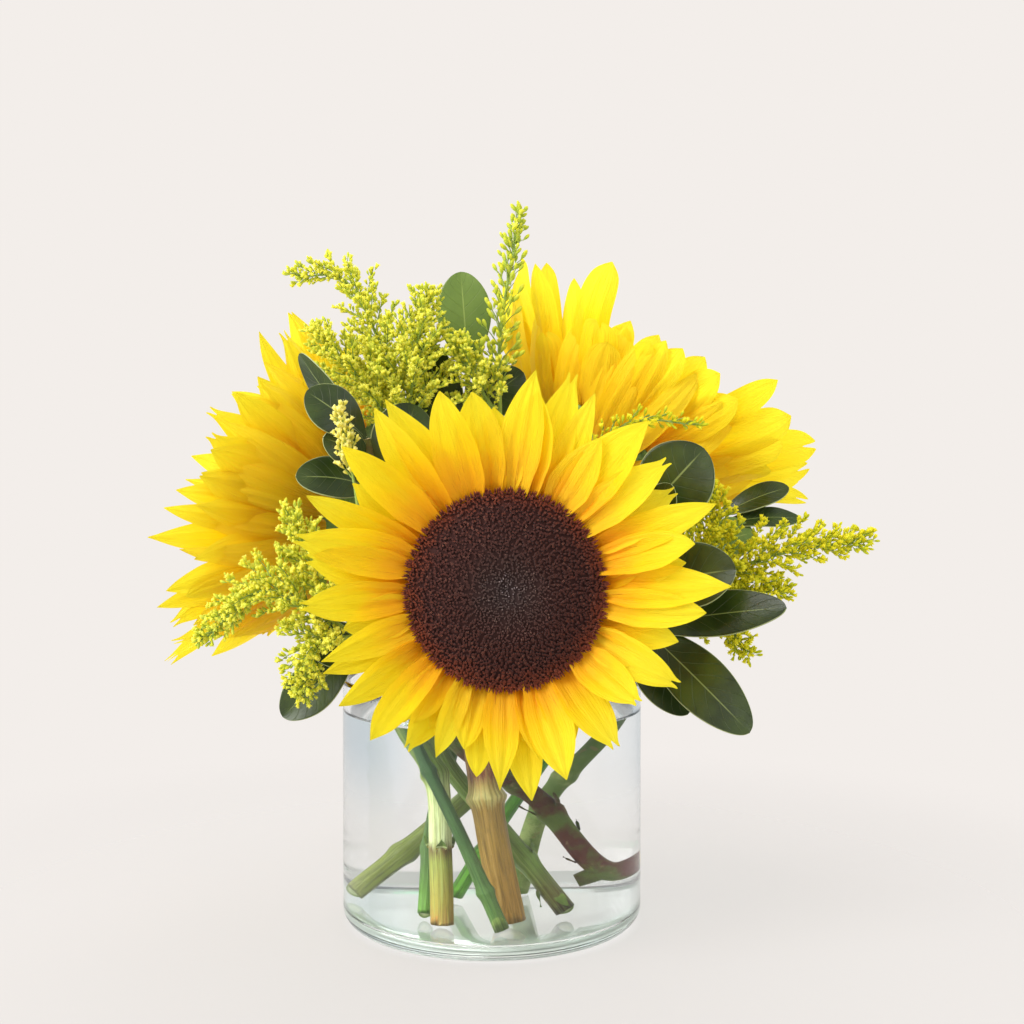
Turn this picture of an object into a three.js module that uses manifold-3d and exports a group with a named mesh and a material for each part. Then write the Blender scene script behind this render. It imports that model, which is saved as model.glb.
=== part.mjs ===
// Sunflowers in a vase: three blooms, goldenrod and two leafy branches in a clear glass cylinder of water.
// Units are millimetres, +Z is up, and the origin is the centre of the vase's underside.
// The front of the arrangement faces -Y.
import * as THREE from "three";
import { mergeVertices } from "three/addons/utils/BufferGeometryUtils.js";
import Module from "manifold-3d";

const wasm = await Module();
wasm.setup();

// ---- Driving dimensions ----
const GAP = 0.3; // clearance between pieces that touch on the real thing
const HOLE_CLEARANCE = 0.42; // round each stem in the water, measured at a corner of the stem

const VASE = { radius: 55, height: 89, wall: 2.6, floor: 5, heel: 6, innerHeel: 4, sides: 32 };
const WATER_LEVEL = 77;

const DISC_RADIUS = 32;
const DISC_DOME = 5; // rise of the disc's middle ring over its edge
const RING = { inner: DISC_RADIUS + 2 * GAP, outer: DISC_RADIUS + 2.8, depth: 4.4, sides: 24 };
const DISC_THICK = RING.depth;
const PETAL = { thick: 0.9, width: 14.5, fold: 0.1, root: DISC_RADIUS + 1.2, rowDepth: 1.55 };
const BRACT = { count: 10, thick: 1, width: 11, length: 23, rise: 8 };
const RECEPTACLE_DEPTH = 9;

const CLUB = { radius: 3.3, widest: 0.66, sides: 3 }; // a twig of goldenrod with its florets
const GOLDEN_ANGLE = 2.4;
const LEAF = { thick: 0.9, width: 22, fold: 0.08 };

// ---- Small helpers ----
const point = (x, y, z) => new THREE.Vector3(x, y, z);
const radians = THREE.MathUtils.degToRad;

// A repeatable number from 0 to 1 for two whole numbers.
function draw(seed, index) {
  const wave = Math.sin(seed * 12.9898 + index * 78.233) * 43758.5453;
  return wave - Math.floor(wave);
}

// A repeatable number from -1 to 1.
const spread = (seed, index) => 2 * draw(seed, index) - 1;

function geometryOf(vertices, triangles) {
  const geometry = new THREE.BufferGeometry().setFromPoints(vertices);
  geometry.setIndex(triangles.flat());
  return geometry;
}

function solidOf(geometry) {
  const bare = new THREE.BufferGeometry();
  bare.setAttribute("position", geometry.getAttribute("position").clone());
  bare.setIndex(geometry.getIndex() ? geometry.getIndex().clone() : null);
  const merged = mergeVertices(bare, 1e-4);
  return new wasm.Manifold(
    new wasm.Mesh({
      numProp: 3,
      vertProperties: new Float32Array(merged.attributes.position.array),
      triVerts: new Uint32Array(merged.index.array),
    }),
  );
}

// Joins solids two by two until one is left.
function joined(solids) {
  let left = solids;
  while (left.length > 1) {
    const next = [];
    for (let i = 0; i < left.length; i += 2) {
      next.push(i + 1 < left.length ? left[i].add(left[i + 1]) : left[i]);
    }
    left = next;
  }
  return left[0];
}

function meshOf(name, solid, material) {
  const { vertProperties, triVerts, numProp, numVert } = solid.getMesh();
  const positions = new Float32Array(numVert * 3);
  for (let i = 0; i < numVert; i++) {
    positions.set(vertProperties.subarray(i * numProp, i * numProp + 3), i * 3);
  }
  const geometry = new THREE.BufferGeometry();
  geometry.setAttribute("position", new THREE.BufferAttribute(positions, 3));
  geometry.setIndex(new THREE.BufferAttribute(new Uint32Array(triVerts), 1));
  geometry.computeVertexNormals();
  const mesh = new THREE.Mesh(geometry, material);
  mesh.name = name;
  return mesh;
}

// ---- Materials ----
const surface = (color, roughness) => new THREE.MeshStandardMaterial({ color, roughness, metalness: 0 });
const MATERIALS = {
  glass: new THREE.MeshStandardMaterial({ color: 0xe8f0ee, roughness: 0.03, transparent: true, opacity: 0.3 }),
  water: new THREE.MeshStandardMaterial({ color: 0xdfe9ec, roughness: 0.02, transparent: true, opacity: 0.4 }),
  petal: surface(0xffcf17, 0.55),
  disc: surface(0x3c1912, 0.9),
  stem: surface(0x7c9a46, 0.6),
  goldenrod: surface(0xb9bb24, 0.8),
  leaf: surface(0x3b5431, 0.45),
};

// ---- Building shapes ----

// A closed tapering rod along a smooth curve, with flat ends; its first end can reach back a little.
function rodGeometry(curve, segments, sides, radiusAt, reachBack = 0) {
  const frames = curve.computeFrenetFrames(segments, false);
  const vertices = [];
  const triangles = [];
  for (let i = 0; i <= segments; i++) {
    const centre = curve.getPointAt(i / segments);
    if (i === 0) centre.addScaledVector(frames.tangents[0], -reachBack);
    for (let j = 0; j < sides; j++) {
      const turn = (2 * Math.PI * j) / sides;
      const offset = frames.normals[i].clone().multiplyScalar(Math.cos(turn));
      offset.addScaledVector(frames.binormals[i], Math.sin(turn));
      vertices.push(centre.clone().addScaledVector(offset, radiusAt(i / segments)));
    }
  }
  for (let i = 0; i < segments; i++) {
    for (let j = 0; j < sides; j++) {
      const next = (j + 1) % sides;
      const [a, b, c, d] = [i * sides + j, i * sides + next, (i + 1) * sides + next, (i + 1) * sides + j];
      triangles.push([a, b, c], [a, c, d]);
    }
  }
  const last = segments * sides;
  for (let j = 1; j < sides - 1; j++) {
    triangles.push([0, j + 1, j], [last, last + j, last + j + 1]);
  }
  return geometryOf(vertices, triangles);
}

const curveThrough = (points) => new THREE.CatmullRomCurve3(points, false, "centripetal");

function rod(points, segments, sides, startRadius, endRadius, reachBack = 0) {
  const radiusAt = (t) => THREE.MathUtils.lerp(startRadius, endRadius, t);
  return solidOf(rodGeometry(curveThrough(points), segments, sides, radiusAt, reachBack));
}

// A thin pointed blade with a raised rib: at each station an edge, a top, an edge and an underside corner.
// out is the way it grows, up the way its upper face looks, and bend the angle it curls towards up.
function blade({ root, out, up, length, width, thick, bend, fold, outline, sway = 0 }) {
  const side = new THREE.Vector3().crossVectors(out, up).normalize();
  const bendSafe = Math.abs(bend) < 1e-3 ? 1e-3 : bend;
  const spineAt = (s) =>
    root
      .clone()
      .addScaledVector(out, (length * Math.sin(bendSafe * s)) / bendSafe)
      .addScaledVector(up, (length * (1 - Math.cos(bendSafe * s))) / bendSafe)
      .addScaledVector(side, sway * length * s * s);
  const normalAt = (s) =>
    up
      .clone()
      .multiplyScalar(Math.cos(bendSafe * s))
      .addScaledVector(out, -Math.sin(bendSafe * s));
  const vertices = [];
  const triangles = [];
  for (const [s, share] of outline) {
    const centre = spineAt(s);
    const normal = normalAt(s);
    const half = (width / 2) * share;
    const lift = fold * half;
    vertices.push(
      centre.clone().addScaledVector(side, -half).addScaledVector(normal, lift),
      centre.clone().addScaledVector(normal, thick / 2),
      centre.clone().addScaledVector(side, half).addScaledVector(normal, lift),
      centre.clone().addScaledVector(normal, -thick / 2),
    );
  }
  vertices.push(spineAt(1));
  // Each face is split from its edge corners, alike above and below.
  for (let i = 0; i < outline.length - 1; i++) {
    const [l, t, r, b] = [4 * i, 4 * i + 1, 4 * i + 2, 4 * i + 3];
    const [l2, t2, r2, b2] = [l + 4, t + 4, r + 4, b + 4];
    triangles.push([l, t2, l2], [l, t, t2], [r, r2, t2], [r, t2, t]);
    triangles.push([l, l2, b2], [l, b2, b], [r, b2, r2], [r, b, b2]);
  }
  const tip = vertices.length - 1;
  const [l, t, r, b] = [tip - 4, tip - 3, tip - 2, tip - 1];
  triangles.push([l, t, tip], [t, r, tip], [r, b, tip], [b, l, tip]);
  triangles.push([0, 3, 2], [0, 2, 1]);
  return solidOf(geometryOf(vertices, triangles));
}

const PETAL_OUTLINE = [[0, 0.4], [0.45, 1], [0.82, 0.66]];
const BRACT_OUTLINE = [[0, 0.9], [0.55, 0.8]];
const LEAF_OUTLINE = [[0, 0.09], [0.36, 0.74], [0.7, 1], [0.92, 0.6]];

// ---- Vase and water ----
function vase() {
  const { radius, height, wall, floor, heel, innerHeel, sides } = VASE;
  const inner = radius - wall;
  const lip = wall / 2;
  const profile = [[0, 0], [radius - heel, 0]];
  for (const turn of [30, 60, 90].map(radians)) {
    profile.push([radius - heel + heel * Math.sin(turn), heel - heel * Math.cos(turn)]);
  }
  for (const turn of [0, 60, 120, 180].map(radians)) {
    profile.push([radius - lip + lip * Math.cos(turn), height - lip + lip * Math.sin(turn)]);
  }
  for (const turn of [90, 45, 0].map(radians)) {
    profile.push([inner - innerHeel + innerHeel * Math.sin(turn), floor + innerHeel * (1 - Math.cos(turn))]);
  }
  profile.push([0, floor]);
  const lathe = new THREE.LatheGeometry(profile.map(([r, z]) => new THREE.Vector2(r, z)), sides);
  lathe.rotateX(Math.PI / 2);
  return solidOf(lathe);
}

function water(stems) {
  const { radius, wall, floor, innerHeel, sides } = VASE;
  const edge = radius - wall - GAP;
  const bottom = floor + GAP;
  const profile = [[0, bottom], [edge - innerHeel, bottom]];
  for (const turn of [45, 90].map(radians)) {
    profile.push([edge - innerHeel + innerHeel * Math.sin(turn), bottom + innerHeel * (1 - Math.cos(turn))]);
  }
  profile.push([edge, WATER_LEVEL], [0, WATER_LEVEL]);
  const lathe = new THREE.LatheGeometry(profile.map(([r, z]) => new THREE.Vector2(r, z)), sides);
  lathe.rotateX(Math.PI / 2);
  let body = solidOf(lathe);
  for (const stem of stems) {
    body = body.subtract(stemRod(stem, HOLE_CLEARANCE));
  }
  return body;
}

// ---- Stems that stand in the vase ----
// A stem's foot is where its cut end rests, its way the points it passes from there up to where it carries.
const STEM_SIDES = 5;

const STEMS = {
  front: {
    foot: [5.4, -24],
    way: [[-1, -21, 45], [-5, -16, 84], [-3, -20, 106], [1, -36, 121], [4, -53, 125]],
    radius: [4.9, 3.9],
  },
  left: {
    foot: [-15, -25],
    way: [[-15.5, -24, 30], [-17, -21, 58], [-25, -14, 73], [-32, -4, 92], [-42, 14, 116], [-50, 26, 140], [-59.5, 29.3, 147.7]],
    radius: [3.7, 3.4],
  },
  right: {
    foot: [-38, 8],
    way: [[-6.5, 10, 45], [18, 16, 75], [29, 21, 95], [34, 28, 130], [41, 36, 170]],
    radius: [2.9, 3.4],
  },
  goldenrodLeft: {
    foot: [3.4, -34],
    way: [[-10, -33, 40], [-20, -31, 62], [-31, -29, 86], [-46, -38, 108]],
    radius: [2.4, 1.5],
  },
  goldenrodTop: {
    foot: [22, -12],
    way: [[4, -10, 35], [-14, -8, 63], [-21, -4, 90], [-25, 2, 130], [-31, 6, 175]],
    radius: [3.1, 1.6],
  },
  goldenrodRight: {
    foot: [-10, 18],
    way: [[2, 14, 35], [16, 8, 63], [30, 0, 90], [46, -8, 106], [66, -12, 118]],
    radius: [2.1, 1.5],
  },
  goldenrodCentre: {
    foot: [-19.5, -13],
    way: [[-20, -5, 35], [-13, 9, 62], [-5, 20, 88], [1, 18, 130], [3, 10, 185]],
    radius: [2.2, 1.5],
  },
  branchLeft: {
    foot: [42, 10],
    lift: 11,
    way: [[31, 8, 17], [12, 4, 46], [-8, 2, 64], [-25, 8, 90], [-34, -6, 118], [-40, -18, 150], [-44, -24, 176]],
    radius: [3.5, 1.3],
  },
  branchRight: {
    foot: [6, 31],
    way: [[13, 28, 40], [28, 21, 66], [40, 8, 90], [50, -12, 104], [51, -26, 122], [50, -34, 146]],
    radius: [2.9, 1.3],
  },
};

// The points of a stem, its foot just clear of the glass floor whatever its slant.
function stemPoints({ foot, way, radius, lift = 0 }) {
  const first = point(...way[0]);
  const run = Math.hypot(first.x - foot[0], first.y - foot[1]);
  const slant = Math.sin(Math.atan2(run, first.z - VASE.floor));
  const end = point(foot[0], foot[1], VASE.floor + GAP + 0.1 + lift + radius[0] * slant);
  return [end, ...way.map((place) => point(...place))];
}

function stemRod(stem, extra = 0) {
  const points = stemPoints(stem);
  const [start, end] = stem.radius;
  return rod(points, 2 * points.length, STEM_SIDES, start + extra, end + extra, 2 * extra);
}

// ---- Sunflowers ----

// The petals of each bloom: the way each points, in degrees clockwise from up as one faces the bloom, its
// tip's distance from the middle as a share of the disc's radius, and how many rows back it stands.
const PETALS = {
  front: [
    [5, 2.2, 0], [11, 2.03, 1], [17.5, 2.26, 2], [25, 2.1, 1], [31.5, 1.78, 0], [38, 2.2, 1], [50, 2.06, 0],
    [61, 1.95, 2], [67, 2.2, 1], [75, 1.95, 0], [82, 1.85, 2], [89, 2.18, 1], [98, 1.96, 0], [108, 1.8, 2],
    [119, 1.93, 1], [132, 1.75, 0], [146, 1.88, 1], [156, 1.7, 2], [162, 1.94, 0], [169, 1.72, 1],
    [175, 2.08, 2], [183, 1.92, 0], [191, 1.9, 2], [197, 1.66, 1], [205, 1.76, 0], [212, 1.88, 2],
    [218, 1.65, 1], [225, 2.02, 0], [236, 2, 1], [244, 1.98, 2], [250, 1.94, 0], [258, 1.66, 1],
    [266, 2.02, 0], [274, 1.8, 2], [279, 2.02, 1], [286, 2.1, 0], [295, 2.14, 1], [304, 1.9, 2],
    [311.5, 2.2, 0], [322, 2.2, 1], [329, 2.2, 2], [339, 2.06, 0], [349, 1.98, 1], [357, 1.85, 2],
  ],
  left: [
    [5, 2.26, 0], [13, 2.28, 1], [24, 2.16, 2], [32, 2.14, 0], [43, 1.94, 1], [52, 2, 2], [61, 2, 0],
    [72, 2, 1], [82, 1.94, 2], [90, 1.97, 0], [98, 2.1, 1], [108, 2.08, 0], [123, 2.2, 2], [132, 2.22, 1],
    [141, 2.1, 0], [149, 2.34, 2], [157, 2.42, 1], [166, 2.45, 0], [178, 2.3, 1], [192, 2.2, 0],
    [207, 2.25, 2], [222, 2.2, 1], [237, 2.3, 0], [252, 2.2, 2], [267, 2.25, 1], [282, 2.15, 0],
    [297, 2.25, 2], [312, 2.2, 1], [327, 2.3, 0], [341, 2.2, 2], [354, 2.2, 1],
  ],
  right: [
    [0, 2.2, 1], [15, 2.3, 0], [31, 2.4, 2], [46, 2.3, 1], [61, 2.25, 0], [76, 2.2, 2], [91, 2.25, 1],
    [106, 2.2, 0], [121, 2.25, 2], [136, 2.2, 1], [150, 2.25, 0], [164, 2.2, 2], [178, 2.25, 1],
    [191, 2.3, 0], [204, 2.38, 2], [218, 2.34, 1], [229, 2.3, 0], [237, 2.2, 2], [245, 2.34, 1],
    [256, 2.26, 0], [264, 2.16, 2], [272, 2.1, 1], [279, 2.03, 0], [287, 2.12, 2], [296, 2.02, 1],
    [306, 1.84, 0], [312, 2.06, 2], [320, 2.34, 1], [329, 2.1, 0], [338, 2.32, 2], [349, 2.1, 0],
  ],
};

const SUNFLOWERS = [
  { name: "front", centre: [4.5, -62, 125.5], faces: [0.03, -1, 0.06], rise: 27, bend: 8 },
  { name: "left", centre: [-68.5, 33, 151], faces: [-0.885, 0.34, 0.32], rise: 34, bend: 9 },
  { name: "right", centre: [47.4, 38, 179], faces: [0.578, 0.182, 0.795], rise: 37, bend: 8 },
];

// A bloom's own axes: across and up in the disc's plane, and the way it faces.
function bloomAxes({ centre, faces }) {
  const facing = point(...faces).normalize();
  const upward = point(0, 0, 1).addScaledVector(facing, -facing.z).normalize();
  const across = new THREE.Vector3().crossVectors(upward, facing);
  return { middle: point(...centre), facing, upward, across };
}

// The direction in a bloom's disc plane at a clockwise angle from up.
function spoke({ upward, across }, angle) {
  return upward.clone().multiplyScalar(Math.cos(angle)).addScaledVector(across, Math.sin(angle));
}

// Places a shape drawn round +Z on a bloom's axes.
function placeOnBloom(solid, axes) {
  const { middle, facing, upward, across } = axes;
  const matrix = new THREE.Matrix4().makeBasis(across, upward, facing).setPosition(middle);
  return solid.transform(matrix.toArray());
}

function petals(bloom) {
  const axes = bloomAxes(bloom);
  const { inner, outer, depth, sides } = RING;
  const band = [[inner, -depth], [outer, -depth], [outer, 0], [inner, 0.4], [inner, -depth]];
  const lathe = new THREE.LatheGeometry(band.map(([r, z]) => new THREE.Vector2(r, z)), sides);
  lathe.rotateX(Math.PI / 2);
  const pieces = [placeOnBloom(solidOf(lathe), axes)];
  PETALS[bloom.name].forEach(([angle, reach, row], i) => {
    const way = spoke(axes, radians(angle));
    const rise = radians(bloom.rise - 2.5 * row + 2 * spread(7, i));
    const bend = radians(bloom.bend + 5 * spread(8, i));
    const run = reach * DISC_RADIUS - PETAL.root;
    const root = axes.middle.clone().addScaledVector(way, PETAL.root).addScaledVector(axes.facing, -PETAL.rowDepth * row - 0.5);
    pieces.push(
      blade({
        root,
        out: way.clone().multiplyScalar(Math.cos(rise)).addScaledVector(axes.facing, Math.sin(rise)),
        up: axes.facing.clone().multiplyScalar(Math.cos(rise)).addScaledVector(way, -Math.sin(rise)),
        length: run / Math.cos(rise + bend / 2),
        width: PETAL.width * (1 + 0.12 * spread(9, i)),
        thick: PETAL.thick,
        fold: PETAL.fold,
        outline: PETAL_OUTLINE,
        bend,
        sway: 0.05 * spread(10, i),
      }),
    );
  });
  return joined(pieces);
}

// The dark disc: rings of florets that stand up by turns, round a hollowed middle, with a ragged rim.
function disc(bloom) {
  const rings = 6;
  const sides = 20;
  const vertices = [point(0, 0, DISC_DOME - 1.4)];
  const triangles = [];
  for (let i = 1; i <= rings; i++) {
    const share = i / rings;
    const dome = DISC_DOME * Math.sin(Math.PI * Math.min(1, 0.28 + 0.72 * share)) + 0.6;
    for (let j = 0; j < sides; j++) {
      const proud = (i + j) % 2;
      const turn = (2 * Math.PI * (j + i / 3)) / sides;
      const radius = DISC_RADIUS * share - (i === rings ? 1.6 * proud : 0);
      vertices.push(point(radius * Math.cos(turn), radius * Math.sin(turn), dome + 0.9 * proud));
    }
  }
  const corner = (i, j) => 1 + (i - 1) * sides + (j % sides);
  for (let j = 0; j < sides; j++) {
    triangles.push([0, corner(1, j), corner(1, j + 1)]);
    for (let i = 1; i < rings; i++) {
      triangles.push([corner(i, j), corner(i + 1, j), corner(i + 1, j + 1)]);
      triangles.push([corner(i, j), corner(i + 1, j + 1), corner(i, j + 1)]);
    }
  }
  const under = vertices.length;
  for (let j = 0; j < sides; j++) {
    const rim = vertices[corner(rings, j)];
    vertices.push(point(rim.x * 0.97, rim.y * 0.97, -DISC_THICK));
  }
  vertices.push(point(0, 0, -DISC_THICK));
  const bottom = vertices.length - 1;
  for (let j = 0; j < sides; j++) {
    const next = (j + 1) % sides;
    triangles.push([corner(rings, j), under + j, under + next], [corner(rings, j), under + next, corner(rings, j + 1)]);
    triangles.push([under + j, bottom, under + next]);
  }
  return placeOnBloom(solidOf(geometryOf(vertices, triangles)), bloomAxes(bloom));
}

// The green stem with the head's back and its ring of pointed bracts.
function stem(bloom, stemOfBloom) {
  const axes = bloomAxes(bloom);
  const top = -RING.depth - GAP;
  const bowl = [
    [0, top],
    [RING.outer, top],
    [RING.outer - 1.5, top - 2],
    [RING.outer * 0.62, top - 6],
    [6, top - RECEPTACLE_DEPTH],
    [0, top - RECEPTACLE_DEPTH],
  ];
  const lathe = new THREE.LatheGeometry(bowl.reverse().map(([r, z]) => new THREE.Vector2(r, z)), 16);
  lathe.rotateX(Math.PI / 2);
  const pieces = [stemRod(stemOfBloom), placeOnBloom(solidOf(lathe), axes)];
  for (let i = 0; i < BRACT.count; i++) {
    const way = spoke(axes, (2 * Math.PI * (i + 0.3 * spread(20, i))) / BRACT.count);
    const rise = radians(BRACT.rise);
    pieces.push(
      blade({
        root: axes.middle.clone().addScaledVector(way, RING.outer - 4).addScaledVector(axes.facing, top - 2.2),
        out: way.clone().multiplyScalar(Math.cos(rise)).addScaledVector(axes.facing, Math.sin(rise)),
        up: axes.facing.clone().multiplyScalar(Math.cos(rise)).addScaledVector(way, -Math.sin(rise)),
        length: BRACT.length * (1 + 0.12 * spread(21, i)),
        width: BRACT.width,
        thick: BRACT.thick,
        fold: 0.1,
        outline: BRACT_OUTLINE,
        bend: radians(4),
      }),
    );
  }
  return joined(pieces);
}

// ---- Goldenrod ----

// One side twig with its close-set florets, drawn as a club whose narrow end is sunk in the plume's axis.
function floretClub(root, out, length) {
  const side = new THREE.Vector3().crossVectors(out, point(0.3, 0.5, 0.81)).normalize();
  const other = new THREE.Vector3().crossVectors(out, side);
  const vertices = [root.clone().addScaledVector(out, -0.5), root.clone().addScaledVector(out, length)];
  for (let i = 0; i < CLUB.sides; i++) {
    const turn = (2 * Math.PI * i) / CLUB.sides;
    const rim = side.clone().multiplyScalar(Math.cos(turn)).addScaledVector(other, Math.sin(turn));
    vertices.push(root.clone().addScaledVector(out, CLUB.widest * length).addScaledVector(rim, CLUB.radius));
  }
  const triangles = [];
  for (let i = 0; i < CLUB.sides; i++) {
    const here = 2 + i;
    const next = 2 + ((i + 1) % CLUB.sides);
    triangles.push([0, next, here], [1, here, next]);
  }
  return solidOf(geometryOf(vertices, triangles));
}

// The point of a curve's polyline of equal steps, which is the middle line of the rod drawn along it.
function chordPoint(curve, segments, t) {
  const step = Math.min(Math.floor(t * segments), segments - 1);
  const from = curve.getPointAt(step / segments);
  return from.lerp(curve.getPointAt((step + 1) / segments), t * segments - step);
}

// A plume: a curved axis set with clubs of florets that lean towards its tip.
function plume({ way, clubs, reach, seed, bare = 0.12 }) {
  const axis = curveThrough(way.map((place) => point(...place)));
  const segments = way.length + 2;
  const pieces = [solidOf(rodGeometry(axis, segments, 3, (t) => 1.5 - 0.5 * t, 2))];
  for (let i = 0; i < clubs; i++) {
    const t = bare + ((1 - bare) * (i + 0.5)) / clubs;
    const along = axis.getTangentAt(t);
    const turn = GOLDEN_ANGLE * i + seed;
    const side = new THREE.Vector3().crossVectors(along, point(0.21, 0.13, 0.97)).normalize();
    const other = new THREE.Vector3().crossVectors(along, side);
    const outward = side.multiplyScalar(Math.cos(turn)).addScaledVector(other, Math.sin(turn));
    const out = outward.multiplyScalar(0.8 - 0.3 * t).addScaledVector(along, 0.6 + 0.3 * t).normalize();
    const length = reach * (1.05 - 0.55 * t) * (1 + 0.15 * spread(seed, i));
    pieces.push(floretClub(chordPoint(axis, segments, t), out, length));
  }
  pieces.push(floretClub(axis.getPointAt(1), axis.getTangentAt(1), 0.4 * reach));
  return joined(pieces);
}

const GOLDENRODS = {
  goldenrod_left: {
    stem: STEMS.goldenrodLeft,
    plumes: [
      { way: [[-46, -38, 108], [-60, -44, 117], [-77, -45, 124], [-97, -42, 108]], clubs: 12, reach: 19, seed: 11 },
      { way: [[-46, -38, 108], [-55, -45, 128], [-63, -46, 147]], clubs: 8, reach: 18, seed: 12 },
      { way: [[-46, -38, 108], [-59, -46, 106], [-64, -47, 90]], clubs: 7, reach: 17, seed: 13 },
      { way: [[-46, -38, 108], [-45, -45, 150], [-52, -47, 188]], clubs: 6, reach: 11, seed: 14, bare: 0.6 },
    ],
  },
  goldenrod_top: {
    stem: STEMS.goldenrodTop,
    plumes: [
      { way: [[-31, 6, 175], [-41, 6, 213], [-55, 8, 241], [-73, 8, 242]], clubs: 12, reach: 20, seed: 21 },
      { way: [[-31, 6, 175], [-46, -2, 194], [-63, -6, 214]], clubs: 9, reach: 23, seed: 22 },
      { way: [[-31, 6, 175], [-29, -4, 203], [-24, -8, 226]], clubs: 10, reach: 25, seed: 23 },
      { way: [[-31, 6, 175], [-42, 22, 198], [-49, 34, 214]], clubs: 8, reach: 22, seed: 24 },
    ],
  },
  goldenrod_centre: {
    stem: STEMS.goldenrodCentre,
    plumes: [
      { way: [[3, 10, 185], [3, 4, 215], [7, 4, 245], [11, 5, 265]], clubs: 13, reach: 16, seed: 31 },
      { way: [[3, 10, 185], [-6, -2, 198], [-12, -6, 210]], clubs: 7, reach: 19, seed: 32 },
      { way: [[1, 18, 130], [-8, 40, 165], [-14, 53, 192]], clubs: 9, reach: 23, seed: 33, bare: 0.2 },
      { way: [[1, 18, 130], [6, 48, 150], [12, 70, 166]], clubs: 7, reach: 19, seed: 34, bare: 0.3 },
    ],
  },
  goldenrod_right: {
    stem: STEMS.goldenrodRight,
    plumes: [
      { way: [[66, -12, 118], [84, -16, 128], [108, -16, 136], [135, -12, 139]], clubs: 12, reach: 19, seed: 41 },
      { way: [[66, -12, 118], [77, -17, 138], [79, -17, 156]], clubs: 8, reach: 19, seed: 42 },
      { way: [[66, -12, 118], [82, -20, 112], [90, -23, 100]], clubs: 6, reach: 15, seed: 43 },
      { way: [[46, -8, 106], [34, -30, 140], [34, -41, 170], [48, -44, 181], [69, -45, 180]],
        clubs: 7, reach: 11, seed: 44, bare: 0.66 },
    ],
  },
};

const goldenrod = (spray) => joined([stemRod(spray.stem), ...spray.plumes.map(plume)]);

// ---- Leafy branches ----

// A leaf from its root on a twig to its tip; its upper face looks to the front unless another way is given.
function leaf([root, tip, width = LEAF.width, faces = [0, -1, 0.35]]) {
  const start = point(...root);
  const reach = point(...tip).sub(start);
  const out = reach.clone().normalize();
  const up = point(...faces).addScaledVector(out, -out.dot(point(...faces))).normalize();
  return blade({
    root: start.addScaledVector(out, -1),
    out,
    up,
    length: reach.length() + 1,
    width,
    thick: LEAF.thick,
    fold: LEAF.fold,
    outline: LEAF_OUTLINE,
    bend: radians(-8),
  });
}

const BRANCHES = {
  leafy_branch_left: {
    stem: STEMS.branchLeft,
    twigs: [
      [[-34, -6, 118], [-42, -16, 112], [-47, -24, 102]],
      [[-25, 8, 90], [-19, 22, 130], [-13, 24, 170], [-9, 24, 202]],
      [[-25, 8, 90], [-28, 34, 112], [-26, 48, 128]],
    ],
    leaves: [
      [[-44, -24, 176], [-63, -33, 190], 22],
      [[-42, -21, 163], [-68, -34, 165], 20],
      [[-43, -22, 170], [-55, -36, 177], 18],
      [[-44, -24, 176], [-67, -22, 205], 14],
      [[-47, -24, 102], [-73, -30, 79], 17],
      [[-44, -20, 108], [-62, -30, 100], 18],
      [[-9, 24, 202], [-12, 22, 242], 21],
      [[-12, 24, 175], [-30, 34, 205], 19, [0.2, 0.6, 0.6]],
      [[-26.1, 47, 127], [-52, 72, 138], 22, [0, 0.8, 0.5]],
      [[-26, 47.6, 127.7], [-20, 84, 150], 23, [0, 0.7, 0.6]],
      [[-27, 40, 119], [-48, 68, 104], 22, [0, 0.8, 0.5]],
      [[-26.4, 45.6, 125.4], [-2, 80, 122], 22, [0, 0.8, 0.5]],
      [[-20, 20, 124], [-44, 44, 160], 20, [0.1, 0.8, 0.5]],
    ],
  },
  leafy_branch_right: {
    stem: STEMS.branchRight,
    twigs: [
      [[40, 8, 90], [58, 14, 112], [78, 8, 136], [88, 10, 150]],
      [[40, 8, 90], [46, 34, 112], [44, 50, 130]],
    ],
    leaves: [
      [[50, -34, 146], [72, -43, 172], 27],
      [[50, -31, 138], [60, -47, 160], 14],
      [[50, -27, 124], [83, -42, 131], 24],
      [[50.5, -23, 118.5], [99, -48, 117], 20],
      [[50, -19, 112.5], [86, -52, 77], 25],
      [[49, -13, 104.5], [65, -54, 83], 21],
      [[86, 10, 148], [112, 8, 159], 13],
      [[84, 9, 144], [117, 8, 147], 12],
      [[78, 8, 136], [98, 4, 142], 16],
      [[44.3, 47.5, 127], [76, 72, 142], 22, [0, 0.8, 0.5]],
      [[44, 49.5, 129.3], [40, 86, 146], 23, [0, 0.7, 0.6]],
      [[45.2, 41, 119.5], [72, 62, 104], 22, [0.2, 0.8, 0.5]],
      [[44.6, 45.5, 124.6], [22, 82, 116], 22, [0, 0.8, 0.4]],
    ],
  },
};

function leafyBranch({ stem: trunk, twigs, leaves }) {
  const shoots = twigs.map((places) => rod(places.map((p) => point(...p)), places.length + 2, 4, 1.7, 1));
  return joined([stemRod(trunk), ...shoots, ...leaves.map(leaf)]);
}

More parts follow.
